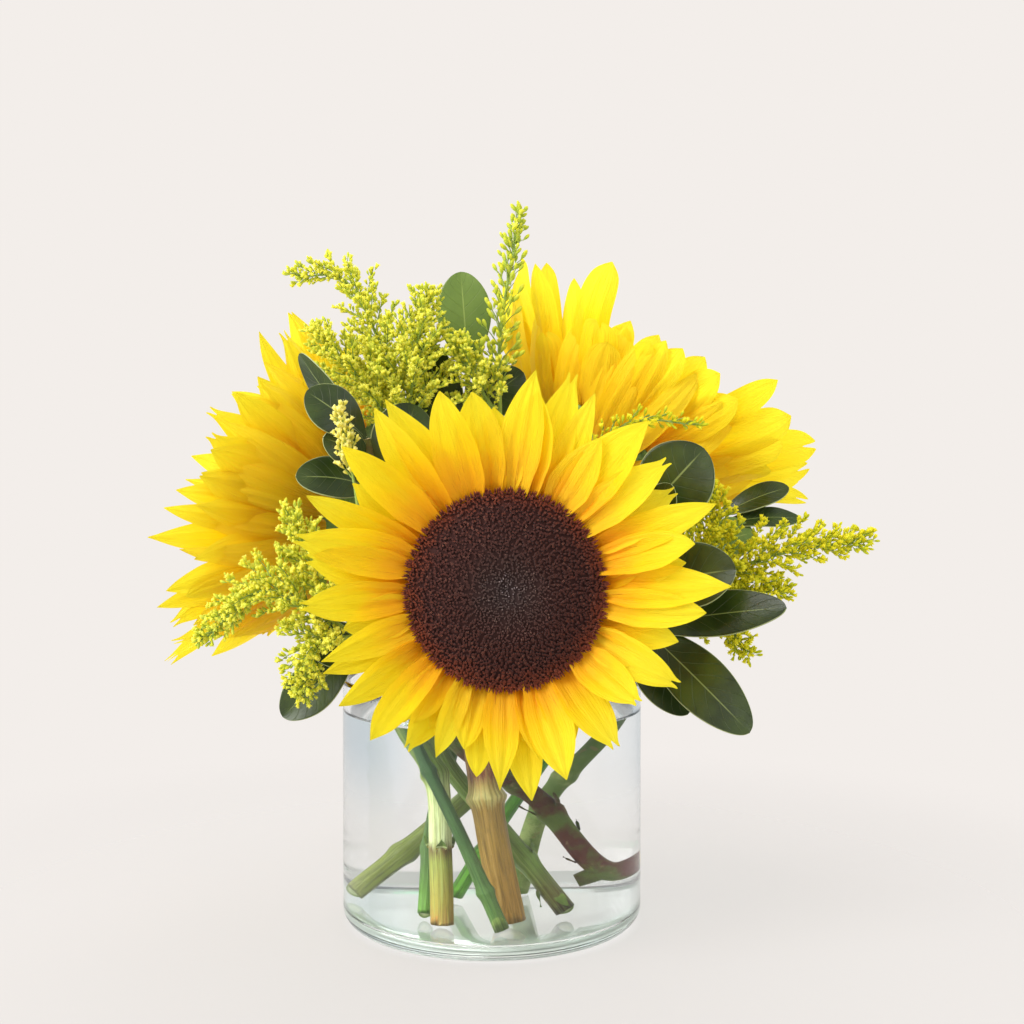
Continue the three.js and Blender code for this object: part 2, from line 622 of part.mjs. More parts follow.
// ---- The arrangement ----
const arrangement = new THREE.Group();
arrangement.name = "sunflowers_in_a_vase";
arrangement.add(meshOf("vase", vase(), MATERIALS.glass));
arrangement.add(meshOf("water", water(Object.values(STEMS)), MATERIALS.water));
for (const bloom of SUNFLOWERS) {
  const label = `sunflower_${bloom.name}`;
  arrangement.add(meshOf(`${label}_petals`, petals(bloom), MATERIALS.petal));
  arrangement.add(meshOf(`${label}_disc`, disc(bloom), MATERIALS.disc));
  arrangement.add(meshOf(`${label}_stem`, stem(bloom, STEMS[bloom.name]), MATERIALS.stem));
}
for (const [name, spray] of Object.entries(GOLDENRODS)) {
  arrangement.add(meshOf(name, goldenrod(spray), MATERIALS.goldenrod));
}
for (const [name, branch] of Object.entries(BRANCHES)) {
  arrangement.add(meshOf(name, leafyBranch(branch), MATERIALS.leaf));
}

export default arrangement;
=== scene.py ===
import math

import bpy
import numpy as np
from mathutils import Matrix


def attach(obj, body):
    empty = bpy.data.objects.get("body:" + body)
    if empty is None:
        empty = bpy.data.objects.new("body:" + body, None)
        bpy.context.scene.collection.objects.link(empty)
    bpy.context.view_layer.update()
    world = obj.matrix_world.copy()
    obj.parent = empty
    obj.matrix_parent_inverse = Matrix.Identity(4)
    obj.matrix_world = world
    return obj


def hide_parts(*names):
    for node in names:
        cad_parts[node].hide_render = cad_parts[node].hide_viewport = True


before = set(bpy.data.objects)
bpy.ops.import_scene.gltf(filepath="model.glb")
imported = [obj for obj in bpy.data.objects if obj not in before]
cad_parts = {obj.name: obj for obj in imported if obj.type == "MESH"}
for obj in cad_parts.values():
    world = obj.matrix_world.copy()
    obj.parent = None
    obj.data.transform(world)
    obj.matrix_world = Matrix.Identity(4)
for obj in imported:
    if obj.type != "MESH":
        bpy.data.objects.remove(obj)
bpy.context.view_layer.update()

# ---- Driving dimensions ----
MM = 0.001
TINY = 0.01  # keeps a profile off the axis it turns about, and tells its borders apart
GAP = 0.3  # the clear space between neighbours that rest against each other
WHOLE_TURN = 6.3  # in radians, near enough for florets turned at random
# Directions that no path and no copied floret runs along, which their sides are set from.
ASKEW_TO_PATHS = (0.21, 0.13, 0.97)
ASKEW_TO_COPIES = (0.31, 0.17, 0.93)

VASE = {"radius": 55, "height": 89, "wall": 2.6, "floor": 5, "heel": 6, "inner_heel": 4, "sides": 160}
GUARD = 0.25  # how far from a profile's corner the extra point lies that keeps its straight run flat
CREASE = math.radians(40)  # an edge sharper than this isn't shaded smooth
FROST = 0.45  # how much of the light on the vase's underside is scattered
GLASS = {"ior": 1.5, "body": (0.5, 0.74, 0.62, 1), "density": 3.0, "in_lamplight": (0.96, 0.98, 0.97, 1)}
WATER = {"ior": 1.333, "body": (0.6, 0.82, 0.86, 1), "density": 0.5, "in_lamplight": (0.98, 0.99, 0.99, 1)}
# How strongly a clear border reflects. Where water wets the glass, it reflects next to nothing.
GLOSSY = (0.45, 0.45, 0.45, 1)
UNSEEN = (0, 0, 0, 1)
WATER_LEVEL = 77
WATER_OVERLAP = 0.06  # how far the water reaches into the glass, so that no air shows between them
MENISCUS = {"rise": 1.3, "reach": 3.5}

DISC_RADIUS = 32
DISC_DOME = 5
DISC_THICK = 4.4
DISC_SIDES = 64
HEART = (0.07, -0.15)  # where the florets' spiral starts, as a share of the disc's radius
FLORETS = 5200
RIM_FLORETS = 300
RIM_TUFTS = 53
# Each row of needles at the disc's rim: its share of the radius, its lean and its size.
RIM_ROWS = ((0.955, 0.4, 0.8), (0.98, 0.7, 0.9), (0.998, 0.95, 1.0))
GOLDEN_ANGLE = math.pi * (3 - math.sqrt(5))

PETAL = {
    "width": 14.5, "root": DISC_RADIUS - 1.5, "row_depth": 1.55, "root_depth": 2.1, "curl": 28, "twist": 20,
}
PETAL_GRID = (19, 15)  # points along and across
# The short outer petals on the side of a bloom that its green head would show on.
MANTLE = {"row": 7.2, "inward": 2.2, "rise": 14, "bend": 56, "length": 56, "span": 190}
RING_OUTER = DISC_RADIUS + 2.8
HEAD_DEPTH = 9
HEAD_SIDES = 48
BRACT = {"count": 20, "width": 9, "length": 16, "rise": 8}
BRACT_GRID = (9, 7)

STEM_STEPS = 120
STEM_SIDES = 24
SCALE_WIDTH = 3.6
DARK_LINES = (0.42, 0.42, 0.3, 1)  # what the dark lines on a stem leave of its colour
TWIG = {"steps": 40, "sides": 12, "root": 1.7, "tip": 0.9}
STUB = {"steps": 6, "sides": 14, "root": 3.3, "tip": 2.4}
LEAF_THICK = 0.4
LEAF_GRID = (25, 13)

PLUME_STEPS = 60
TWIGS_PER_CLUB = 3.2
TWIG_TURN = 2.4  # radians from one side twig of a plume to the next
FLORET_SPACING = 0.5
CLUMP_RADIUS = 1.7  # how far florets stand off their twig

# The camera's place, in millimetres and degrees, and its focal length in pixels of the 1024 pixel frame.
CAMERA = {"place": (0, -500, 158.5), "turn_right": 0.849, "tilt_down": 1.0, "focal": 1350, "frame": 1024}
SENSOR = 36

# The floor lies a gap under the vase. Only a share of its shading is its own. The rest glows evenly, as a
# floor lit from all round does, with one glow in the open and another right under the vase.
FLOOR = {"radius": 1500, "rings": 12, "sides": 96, "gap": 0.03, "share": 0.26}
FLOOR_PAINT = (224, 220, 217)
FLOOR_GLOW = {"open": (220, 216, 213), "under_vase": (236, 233, 230)}
BACKDROP = (243, 238, 234)
# The studio's colour from its left side, 0, through front and back, 0.5, to its right side, 1.
WORLD_SIDES = [
    (0.0, (140, 146, 152)), (0.02, (232, 232, 232)), (0.3, (238, 236, 234)), (0.4, BACKDROP),
    (0.58, BACKDROP), (0.66, (222, 226, 228)), (0.74, (200, 208, 212)), (0.98, (190, 198, 203)),
    (1.0, (110, 118, 124)),
]
ROOM_LIGHT = 1.4  # how much brighter the room lights plain surfaces than it looks
# Each lamp's place and width in metres, and its power in watts. All look at the middle of the arrangement.
LAMPS = {
    "key": ((-1.1, -1.0, 1.25), 1.0, 24),
    "side": ((-1.4, -0.7, 0.3), 1.0, 14),
    "fill": ((1.3, -0.9, 0.7), 1.3, 5),
    "back": ((0.5, 1.2, 1.2), 1.2, 13),
}
LAMP_TARGET = (0, 0, 0.14)


# ---- Small helpers ----
def vec(*numbers):
    return np.array(numbers, float)


def unit(v):
    return v / np.linalg.norm(v)


def draw(seed, index):
    """A repeatable number from 0 to 1 for two whole numbers."""
    wave = math.sin(seed * 12.9898 + index * 78.233) * 43758.5453
    return wave - math.floor(wave)


def spread(seed, index):
    """A repeatable number from -1 to 1."""
    return 2 * draw(seed, index) - 1


def smooth_step(low, high, x):
    t = np.clip((x - low) / (high - low), 0, 1)
    return t * t * (3 - 2 * t)


def round_turns(sides):
    """Even turns round a circle, in radians."""
    return np.linspace(0, 2 * math.pi, sides, endpoint=False)


def smooth_path(points, steps):
    """Evenly spaced points on the rounded curve through the given ones."""
    p = np.array(points, float)
    p = np.vstack([2 * p[0] - p[1], p, 2 * p[-1] - p[-2]])
    t = np.linspace(0, 1, 24, endpoint=False)[:, None]
    pieces = []
    for a, b, c, d in zip(p, p[1:], p[2:], p[3:]):
        ab, bc, cd = (np.linalg.norm(q - r) ** 0.5 for q, r in ((b, a), (c, b), (d, c)))
        leaving = ((b - a) / ab - (c - a) / (ab + bc) + (c - b) / bc) * bc
        arriving = ((c - b) / bc - (d - b) / (bc + cd) + (d - c) / cd) * bc
        blend = b * (2 * t**3 - 3 * t**2 + 1) + c * (3 * t**2 - 2 * t**3)
        pieces.append(blend + leaving * (t**3 - 2 * t**2 + t) + arriving * (t**3 - t**2))
    fine = np.vstack([*pieces, p[-2]])
    run = np.concatenate([[0], np.cumsum(np.linalg.norm(np.diff(fine, axis=0), axis=1))])
    even = np.linspace(0, run[-1], steps + 1)
    return np.column_stack([np.interp(even, run, fine[:, k]) for k in range(3)])


def frames_along(path):
    """The tangent, normal and binormal at each point of a path, turning as little as they can."""
    tangents = np.gradient(path, axis=0)
    tangents /= np.linalg.norm(tangents, axis=1)[:, None]
    normal = np.cross(tangents[0], vec(*ASKEW_TO_PATHS))
    normals = []
    for tangent in tangents:
        normal = unit(normal - tangent * normal.dot(tangent))
        normals.append(normal)
    normals = np.array(normals)
    return tangents, normals, np.cross(tangents, normals)


# ---- Meshes ----
class Shape:
    """Points in millimetres, each with three marks for its material, and faces, each with a skin's number."""

    def __init__(self):
        self.points = []
        self.marks = []
        self.faces = []
        self.skins = []
        self.count = 0

    def add(self, points, faces, marks, skin):
        self.points.append(points)
        self.marks.append(np.array(marks, float))
        self.faces += [[corner + self.count for corner in face] for face in faces]
        self.skins += [skin] * len(faces) if isinstance(skin, int) else skin
        self.count += len(points)

    def add_copies(self, template, places, directions, sizes, turns, tones, skin=0):
        """Sets copies of (points, faces, marks), drawn along +Z, at the places, each with its own tone."""
        points, faces, marks = template
        copies = len(places)
        z = directions / np.linalg.norm(directions, axis=1)[:, None]
        x = np.cross(z, vec(*ASKEW_TO_COPIES))
        x /= np.linalg.norm(x, axis=1)[:, None]
        y = np.cross(z, x)
        cos, sin = np.cos(turns)[:, None], np.sin(turns)[:, None]
        axes = np.stack([x * cos + y * sin, y * cos - x * sin, z], axis=1)
        grown = points[None] * sizes[:, None, :]
        placed = np.einsum("kni,kij->knj", grown, axes) + places[:, None, :]
        own = np.repeat(marks[None], copies, axis=0)
        own[:, :, 2] = tones[:, None]
        corners = [np.array([f for f in faces if len(f) == n]) for n in (3, 4)]
        for group in corners:
            if len(group):
                shift = self.count + len(points) * np.arange(copies)
                self.faces += (group[None] + shift[:, None, None]).reshape(-1, group.shape[1]).tolist()
                self.skins += [skin] * (len(group) * copies)
        self.points.append(placed.reshape(-1, 3))
        self.marks.append(own.reshape(-1, 3))
        self.count += len(points) * copies


def grid_faces(rows, columns, closed=False):
    """The quads of a grid of points, joined round where it is closed."""
    faces = []
    for i in range(rows - 1):
        for j in range(columns if closed else columns - 1):
            here, beside = i * columns + j, i * columns + (j + 1) % columns
            faces.append((here, beside, beside + columns, here + columns))
    return faces


def fan_faces(start, sides, tip):
    """The triangles from a ring of points to one point."""
    return [(start + j, start + (j + 1) % sides, tip) for j in range(sides)]


def grid_marks(rows, columns, along, across, tone=0):
    """The marks of a grid of points: how far along it each one is, how far across, and its tone."""
    marks = np.zeros((rows, columns, 3))
    marks[:, :, 0] = along
    marks[:, :, 1] = across
    marks[:, :, 2] = tone
    return marks


def ring_points(profile, turns):
    """A ring of points round +Z for each (radius, height) of a profile."""
    cos, sin = np.cos(turns), np.sin(turns)
    return [np.column_stack([r * cos, r * sin, np.full(len(turns), z)]) for r, z in profile]


def new_object(name, data):
    made = bpy.data.objects.new(name, data)
    bpy.context.scene.collection.objects.link(made)
    return made


def mesh_object(name, shape, skins):
    """An object made from a shape, with its skins' materials."""
    mesh = bpy.data.meshes.new(name)
    mesh.from_pydata((np.vstack(shape.points) * MM).tolist(), [], shape.faces)
    marks = mesh.attributes.new("marks", "FLOAT_VECTOR", "POINT")
    marks.data.foreach_set("vector", np.vstack(shape.marks).astype(np.float32).ravel())
    mesh.polygons.foreach_set("material_index", shape.skins)
    mesh.polygons.foreach_set("use_smooth", [True] * len(shape.faces))
    for skin in skins:
        mesh.materials.append(skin)
    return new_object(name, mesh)


def piece(name, shape, skins, replaced, subdivide=0, thick=0):
    """Makes a piece of the object from a shape. replaced is the node it stands for."""
    made = mesh_object(name, shape, skins)
    if subdivide:
        smooth = made.modifiers.new("smooth", "SUBSURF")
        smooth.levels = smooth.render_levels = subdivide
    if thick:
        shell = made.modifiers.new("thickness", "SOLIDIFY")
        shell.thickness = thick * MM
        shell.offset = -1
        shell.material_offset = 1
    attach(made, "root")
    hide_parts(replaced)
    return made


def tube(shape, path, radii, sides, tone=0.5, skin=0, cut_skin=None, ribs=0, rib_depth=0, slant=0):
    """A round stem along a path. Its lower end may be cut aslant, facing forward, and have its own skin."""
    tangents, normals, binormals = frames_along(path)
    turns = round_turns(sides)
    rows = len(path)
    radii = np.broadcast_to(radii, rows)[:, None, None]
    ripple = (1 + rib_depth * np.cos(ribs * turns))[None, :, None]
    rims = normals[:, None] * np.cos(turns)[:, None] + binormals[:, None] * np.sin(turns)[:, None]
    points = path[:, None] + rims * radii * ripple
    points[0] += (slant * (1 - rims[0][:, 1]) / 2)[:, None] * tangents[0]
    marks = grid_marks(rows, sides, np.linspace(0, 1, rows)[:, None], turns / (2 * math.pi), tone)
    shape.add(points.reshape(-1, 3), grid_faces(rows, sides, closed=True), marks.reshape(-1, 3), skin)
    for row in (0, rows - 1):
        rim = points[row]
        middle = rim.mean(axis=0)
        cap = np.vstack([rim, middle + (rim - middle) * 0.5, middle])
        cap_marks = np.vstack([marks[row], marks[row], marks[row][:1]])
        cap_marks[:, 1] = np.repeat([1, 0.5, 0], [sides, sides, 1])
        faces = grid_faces(2, sides, closed=True) + fan_faces(sides, sides, 2 * sides)
        if row == 0:
            faces = [face[::-1] for face in faces]
        shape.add(cap, faces, cap_marks, skin if cut_skin is None else cut_skin)


def lathe(shape, profile, sides, row_skins=None, at=None):
    """Turns a profile of (radius, height) points round +Z; at places it as an origin and three axes."""
    turns = round_turns(sides)
    rows = len(profile)
    points = np.vstack(ring_points(profile, turns))
    marks = grid_marks(rows, sides, np.linspace(0, 1, rows)[:, None], turns / (2 * math.pi))
    if at is not None:
        middle, across, upward, facing = at
        points = middle + points[:, :1] * across + points[:, 1:2] * upward + points[:, 2:] * facing
    skins = [skin for skin in row_skins for _ in range(sides)] if row_skins else 0
    shape.add(points, grid_faces(rows, sides, closed=True), marks.reshape(-1, 3), skins)


def add_sheet(shape, spine, side, normal, off, lift, s, u, tone, skin=0):
    """A curved sheet, its points set off its spine sideways and lifted. s runs along it, u across."""
    points = spine + side * off[:, :, None] + normal * lift[:, :, None]
    rows, columns = points.shape[:2]
    marks = grid_marks(rows, columns, s, u / 2 + 0.5, tone)
    shape.add(points.reshape(-1, 3), grid_faces(rows, columns), marks.reshape(-1, 3), skin)


# ---- Materials ----
def linear(shown):
    """A colour as a screen shows it, from 0 to 255, as the light it stands for."""
    shares = [c / 255 for c in shown]
    return (*[s / 12.92 if s < 0.04045 else ((s + 0.055) / 1.055) ** 2.4 for s in shares], 1)


class Paint:
    """The nodes of one material, or of the world, made and joined by short calls."""

    def __init__(self, name, world=False):
        self.owner = bpy.data.worlds.new(name) if world else bpy.data.materials.new(name)
        self.owner.use_nodes = True
        self.tree = self.owner.node_tree
        self.tree.nodes.clear()
        self.output = self.tree.nodes.new("ShaderNodeOutputWorld" if world else "ShaderNodeOutputMaterial")

    def node(self, kind, settings=None, inputs=None):
        made = self.tree.nodes.new(kind)
        for key, value in (settings or {}).items():
            setattr(made, key, value)
        for key, value in (inputs or {}).items():
            if isinstance(value, bpy.types.NodeSocket):
                self.tree.links.new(value, made.inputs[key])
            else:
                made.inputs[key].default_value = value
        return made

    def marks(self):
        """The three marks that each point of a shape carries."""
        read = self.node("ShaderNodeAttribute", {"attribute_name": "marks"})
        parts = self.node("ShaderNodeSeparateXYZ", inputs={0: read.outputs["Vector"]})
        return parts.outputs[0], parts.outputs[1], parts.outputs[2]

    def place(self):
        return self.node("ShaderNodeTexCoord").outputs["Object"]

    def math(self, operation, a, b=0.0, c=0.0):
        return self.node("ShaderNodeMath", {"operation": operation}, {0: a, 1: b, 2: c}).outputs[0]

    def times(self, a, b):
        return self.math("MULTIPLY", a, b)

    def plus(self, a, b):
        return self.math("ADD", a, b)

    def sway(self, value, noise, reach):
        """A value that a noise moves by up to reach either way."""
        return self.plus(value, self.math("MULTIPLY_ADD", noise, 2 * reach, -reach))

    def vector(self, x, y, z):
        return self.node("ShaderNodeCombineXYZ", inputs={0: x, 1: y, 2: z}).outputs[0]

    def noise(self, vector, scale, detail, roughness=0.55):
        inputs = {"Vector": vector, "Scale": scale, "Detail": detail, "Roughness": roughness}
        return self.node("ShaderNodeTexNoise", inputs=inputs).outputs[0]

    def ramp(self, value, stops):
        """Colours along a value, from stops of (position, colour)."""
        made = self.node("ShaderNodeValToRGB", inputs={0: value})
        elements = made.color_ramp.elements
        while len(elements) < len(stops):
            elements.new(0.5)
        for element, (position, colour) in zip(elements, stops):
            element.position = position
            element.color = linear(colour)
        return made.outputs[0]

    def share(self, value, low, high):
        """How far value is from low to high, from 0 to 1, without a corner at either end."""
        inputs = {0: value, 1: low, 2: high, 3: 0.0, 4: 1.0}
        return self.node("ShaderNodeMapRange", {"interpolation_type": "SMOOTHSTEP"}, inputs).outputs[0]

    def mix(self, share, a, b, blend="MIX"):
        settings = {"data_type": "RGBA", "blend_type": blend}
        return self.node("ShaderNodeMix", settings, {0: share, 6: a, 7: b}).outputs[2]

    def tint(self, colour, tint, share, strength):
        """A colour with a tint over it, where share is high and at most as strong as strength."""
        return self.mix(self.times(share, strength), colour, linear(tint))

    def bump(self, height, distance, strength=1.0):
        inputs = {"Height": height, "Distance": distance * MM, "Strength": strength}
        return self.node("ShaderNodeBump", inputs=inputs).outputs[0]

    def shader(self, **inputs):
        named = {key.replace("_", " "): value for key, value in inputs.items()}
        return self.node("ShaderNodeBsdfPrincipled", inputs=named).outputs[0]

    def blend(self, share, first, second):
        """A surface that is the second shader by a share, and the first for the rest."""
        return self.node("ShaderNodeMixShader", inputs={0: share, 1: first, 2: second}).outputs[0]

    def lit_through(self, front, share, **inputs):
        """A thin surface, of whose light a share comes through from behind."""
        through = self.node("ShaderNodeBsdfTranslucent", inputs=inputs).outputs[0]
        return self.blend(share, front, through)

    def clear_body(self, clear, gloss, normal):
        """The surface of a clear body, which takes up a little light on its way through."""
        looks = {"Color": clear["body"], "Density": clear["density"]}
        body = self.node("ShaderNodeVolumeAbsorption", inputs=looks).outputs[0]
        self.tree.links.new(body, self.output.inputs["Volume"])
        return self.shader(
            Base_Color=(1, 1, 1, 1), Roughness=0.0, IOR=clear["ior"], Transmission_Weight=1.0,
            Specular_Tint=gloss, Normal=normal,
        )

    def lamp_lit(self, shader, clear):
        """Lets the lamps' light through a clear body, so that what it holds is lit as behind real glass."""
        to_lamp = self.node("ShaderNodeLightPath").outputs["Is Shadow Ray"]
        let_in = self.node("ShaderNodeBsdfTransparent", inputs={"Color": clear["in_lamplight"]}).outputs[0]
        return self.blend(to_lamp, shader, let_in)

    def finish(self, shader):
        self.tree.links.new(shader, self.output.inputs["Surface"])
        return self.owner


def petal_material(name, base, middle, tip):
    """A ray petal: warm at its root, with fine lengthwise veins, painted shade in brown creases near its root
    and light from behind.
    """
    paint = Paint(name)
    along, across, tone = paint.marks()
    lengthwise = paint.vector(paint.times(across, 7.0), paint.times(along, 0.9), tone)
    moved = {0: lengthwise, 1: paint.vector(tone, tone, tone)}
    own_place = paint.node("ShaderNodeVectorMath", {"operation": "ADD"}, moved).outputs[0]
    veins = paint.noise(own_place, 4.0, 5.0, 0.62)
    reach = paint.sway(along, paint.noise(paint.place(), 55.0, 2.0), 0.17)
    colour = paint.ramp(reach, [(0.0, base), (0.16, base), (0.48, middle), (0.95, tip)])
    colour = paint.tint(colour, base, paint.share(veins, 0.5, 0.72), 0.28)
    colour = paint.tint(colour, tip, paint.share(tone, 0.45, 1.0), 0.5)
    # Painted shade: fine creases near the root are darkened to brown-orange, where shade falls between the
    # petals.
    painted_crease_shade = paint.times(paint.share(veins, 0.6, 0.7), paint.share(along, 0.46, 0.05))
    colour = paint.tint(colour, (196, 100, 12), painted_crease_shade, 0.85)
    normal = paint.bump(veins, 0.9, 0.8)
    front = paint.shader(Base_Color=colour, Roughness=0.5, Specular_IOR_Level=0.3, Normal=normal)
    return paint.finish(paint.lit_through(front, 0.48, Color=colour, Normal=normal))


def disc_material():
    """Dark florets: violet-brown in the middle with pale specks, brown further out, red-brown at the rim."""
    paint = Paint("disc_florets")
    radius, height, tone = paint.marks()
    reach = paint.sway(radius, paint.noise(paint.place(), 160.0, 3.0), 0.15)
    low_stops = [
        (0.0, (52, 38, 37)), (0.25, (54, 32, 28)), (0.5, (56, 26, 21)), (0.85, (58, 24, 18)),
        (1.0, (88, 34, 16)),
    ]
    high_stops = [
        (0.0, (80, 64, 60)), (0.2, (74, 52, 46)), (0.4, (74, 41, 33)), (0.8, (80, 36, 26)),
        (1.0, (128, 54, 24)),
    ]
    low = paint.ramp(reach, low_stops)
    high = paint.ramp(reach, high_stops)
    colour = paint.mix(paint.share(height, 0.3, 1.0), low, high)
    speck = paint.times(paint.share(radius, 0.3, 0.06), paint.share(tone, 0.88, 0.98))
    speck = paint.times(speck, paint.share(height, 0.7, 0.95))
    colour = paint.tint(colour, (172, 156, 160), speck, 0.65)
    ember = paint.times(paint.share(tone, 0.8, 1.0), paint.share(radius, 0.3, 0.8))
    colour = paint.tint(colour, (140, 66, 30), ember, 0.25)
    pale = paint.times(paint.share(tone, 0.955, 0.965), paint.share(height, 0.75, 0.95))
    colour = paint.tint(colour, (170, 140, 124), pale, 0.3)
    looks = {"Roughness": 0.75, "Specular_IOR_Level": 0.25, "Sheen_Weight": 0.1}
    return paint.finish(paint.shader(Base_Color=colour, **looks))


def stem_material(name, stops, streak, stained):
    """A green stem: its colour changes from its cut foot to its top, with lengthwise streaks and stains."""
    paint = Paint(name)
    along, across, _ = paint.marks()
    turn = paint.times(across, 2 * math.pi)
    cos, sin = paint.math("COSINE", turn), paint.math("SINE", turn)
    lengthwise = paint.vector(cos, sin, paint.times(along, 1.4))
    streaks = paint.noise(lengthwise, 3.4, 6.0, 0.65)
    torn = paint.sway(along, paint.noise(lengthwise, 9.0, 3.0), 0.03)
    colour = paint.tint(paint.ramp(torn, stops), streak, paint.share(streaks, 0.46, 0.7), 0.8)
    lines = paint.noise(paint.vector(cos, sin, paint.math("MULTIPLY_ADD", along, 1.1, 5.0)), 7.0, 4.0, 0.7)
    dark = paint.times(paint.share(lines, 0.48, 0.58), 0.65)
    colour = paint.mix(dark, colour, DARK_LINES, "MULTIPLY")
    stains = paint.noise(paint.place(), 120.0, 5.0, 0.7)
    colour = paint.tint(colour, (74, 58, 30), paint.share(stains, 0.58, 0.72), stained)
    normal = paint.bump(paint.plus(streaks, paint.times(stains, 0.6)), 0.9, 0.7)
    looks = {"Roughness": 0.4, "Specular_IOR_Level": 0.4, "Normal": normal}
    return paint.finish(paint.shader(Base_Color=colour, **looks))


def bark_material(name, low, high, patch):
    """Young woody bark: stretched patches of two colours with cracks and small lighter pores."""
    paint = Paint(name)
    along, _, _ = paint.marks()
    patches = paint.noise(paint.place(), 70.0, 5.0, 0.65)
    colour = paint.ramp(along, [(0.05, low), (0.6, high)])
    colour = paint.mix(paint.share(patches, 0.44, 0.62), colour, linear(patch))
    pores = paint.noise(paint.place(), 420.0, 2.0)
    colour = paint.tint(colour, (150, 120, 80), paint.share(pores, 0.62, 0.7), 0.5)
    cracks = paint.noise(paint.place(), 240.0, 6.0, 0.75)
    normal = paint.bump(paint.plus(cracks, patches), 0.9, 0.8)
    looks = {"Roughness": 0.6, "Specular_IOR_Level": 0.35, "Normal": normal}
    return paint.finish(paint.shader(Base_Color=colour, **looks))


def pith_material(name, rim, middle):
    """A cut stem's end: a darker rim, pale wood and a paler core."""
    paint = Paint(name)
    _, radius, _ = paint.marks()
    fibres = paint.noise(paint.place(), 700.0, 3.0, 0.7)
    colour = paint.ramp(radius, [(0.0, middle), (0.6, middle), (0.86, rim), (1.0, rim)])
    colour = paint.tint(colour, rim, paint.share(fibres, 0.4, 0.7), 0.35)
    return paint.finish(paint.shader(Base_Color=colour, Roughness=0.6, Normal=paint.bump(fibres, 0.2)))


def goldenrod_material(name, stalk, green, yellow, bright):
    """Goldenrod florets: green where they leave the stalk, yellow at their open tips."""
    paint = Paint(name)
    along, _, tone = paint.marks()
    colour = paint.ramp(along, [(0.0, stalk), (0.3, green), (0.66, yellow), (0.92, bright)])
    colour = paint.tint(colour, green, paint.share(tone, 0.5, 1.0), 0.5)
    drift = paint.noise(paint.place(), 90.0, 3.0)
    colour = paint.tint(colour, bright, paint.share(drift, 0.5, 0.75), 0.35)
    front = paint.shader(Base_Color=colour, Roughness=0.65, Specular_IOR_Level=0.25)
    return paint.finish(paint.lit_through(front, 0.45, Color=colour))


def leaf_material(name, dark, light, vein, roughness, edge):
    """A leathery leaf: a pale midrib, a painted highlight along its thin edge, faint slanting side veins and
    soft mottling.
    """
    paint = Paint(name)
    along, across, _ = paint.marks()
    off_rib = paint.math("ABSOLUTE", paint.math("MULTIPLY_ADD", across, 2.0, -1.0))
    mottle = paint.noise(paint.place(), 75.0, 4.0)
    colour = paint.mix(paint.share(mottle, 0.35, 0.7), linear(dark), linear(light))
    slant = paint.math("SUBTRACT", paint.times(along, 9.0), paint.times(off_rib, 1.9))
    slant = paint.plus(slant, paint.times(mottle, 0.35))
    wave = paint.math("ABSOLUTE", paint.math("SINE", paint.times(slant, math.pi)))
    side_vein = paint.share(wave, 0.14, 0.0)
    colour = paint.tint(colour, vein, paint.times(side_vein, paint.share(off_rib, 0.9, 0.3)), 0.14)
    rib = paint.times(paint.share(off_rib, 0.035, 0.01), paint.share(along, 1.0, 0.75))
    colour = paint.tint(colour, vein, rib, 0.8)
    # Painted highlight: a thin pale line along the leaf's edge.
    colour = paint.tint(colour, edge, paint.share(off_rib, 0.965, 0.995), 0.9)
    cells = paint.noise(paint.place(), 900.0, 2.0)
    height = paint.plus(paint.times(cells, 0.35), paint.plus(paint.times(side_vein, -0.5), mottle))
    normal = paint.bump(height, 0.35, 0.7)
    return paint.finish(paint.shader(
        Base_Color=colour, Roughness=roughness, Specular_IOR_Level=0.4, Coat_Weight=0.08,
        Coat_Roughness=0.25, Normal=normal,
    ))


def glass_material(name, gloss, frost=0.0):
    """Clear glass, faintly green-grey where it is thick. frost is how much its face scatters."""
    paint = Paint(name)
    normal = paint.bump(paint.noise(paint.place(), 22.0, 1.0), 0.05, 0.08)
    shader = paint.clear_body(GLASS, gloss, normal)
    if frost:
        matt = paint.node("ShaderNodeBsdfDiffuse", inputs={"Color": linear((246, 246, 240))}).outputs[0]
        shader = paint.blend(frost, shader, matt)
    return paint.finish(paint.lamp_lit(shader, GLASS))


def water_material(name, gloss, swell):
    """Still clear water, with the slightest swell on its surface."""
    paint = Paint(name)
    normal = paint.bump(paint.noise(paint.place(), 30.0, 2.0), 0.3, swell)
    return paint.finish(paint.lamp_lit(paint.clear_body(WATER, gloss, normal), WATER))


# ---- Vase and water ----
def arc(centre, radius, start, end, steps=8):
    """Points of a profile round a centre, from one angle to another in degrees, 0 being outward."""
    turns = np.radians(np.linspace(start, end, steps + 1))
    return [(centre[0] + radius * math.cos(t), centre[1] + radius * math.sin(t)) for t in turns]


def with_guards(profile):
    """Adds a point near each end of a profile's long straight runs, so that only their ends shade round."""
    guarded = [profile[0]]
    for start, end in zip(profile, profile[1:]):
        run = math.dist(start, end)
        if run > 8 * GUARD:
            for share in (GUARD / run, 1 - GUARD / run):
                guarded.append(tuple(a + (b - a) * share for a, b in zip(start, end)))
        guarded.append(end)
    return guarded


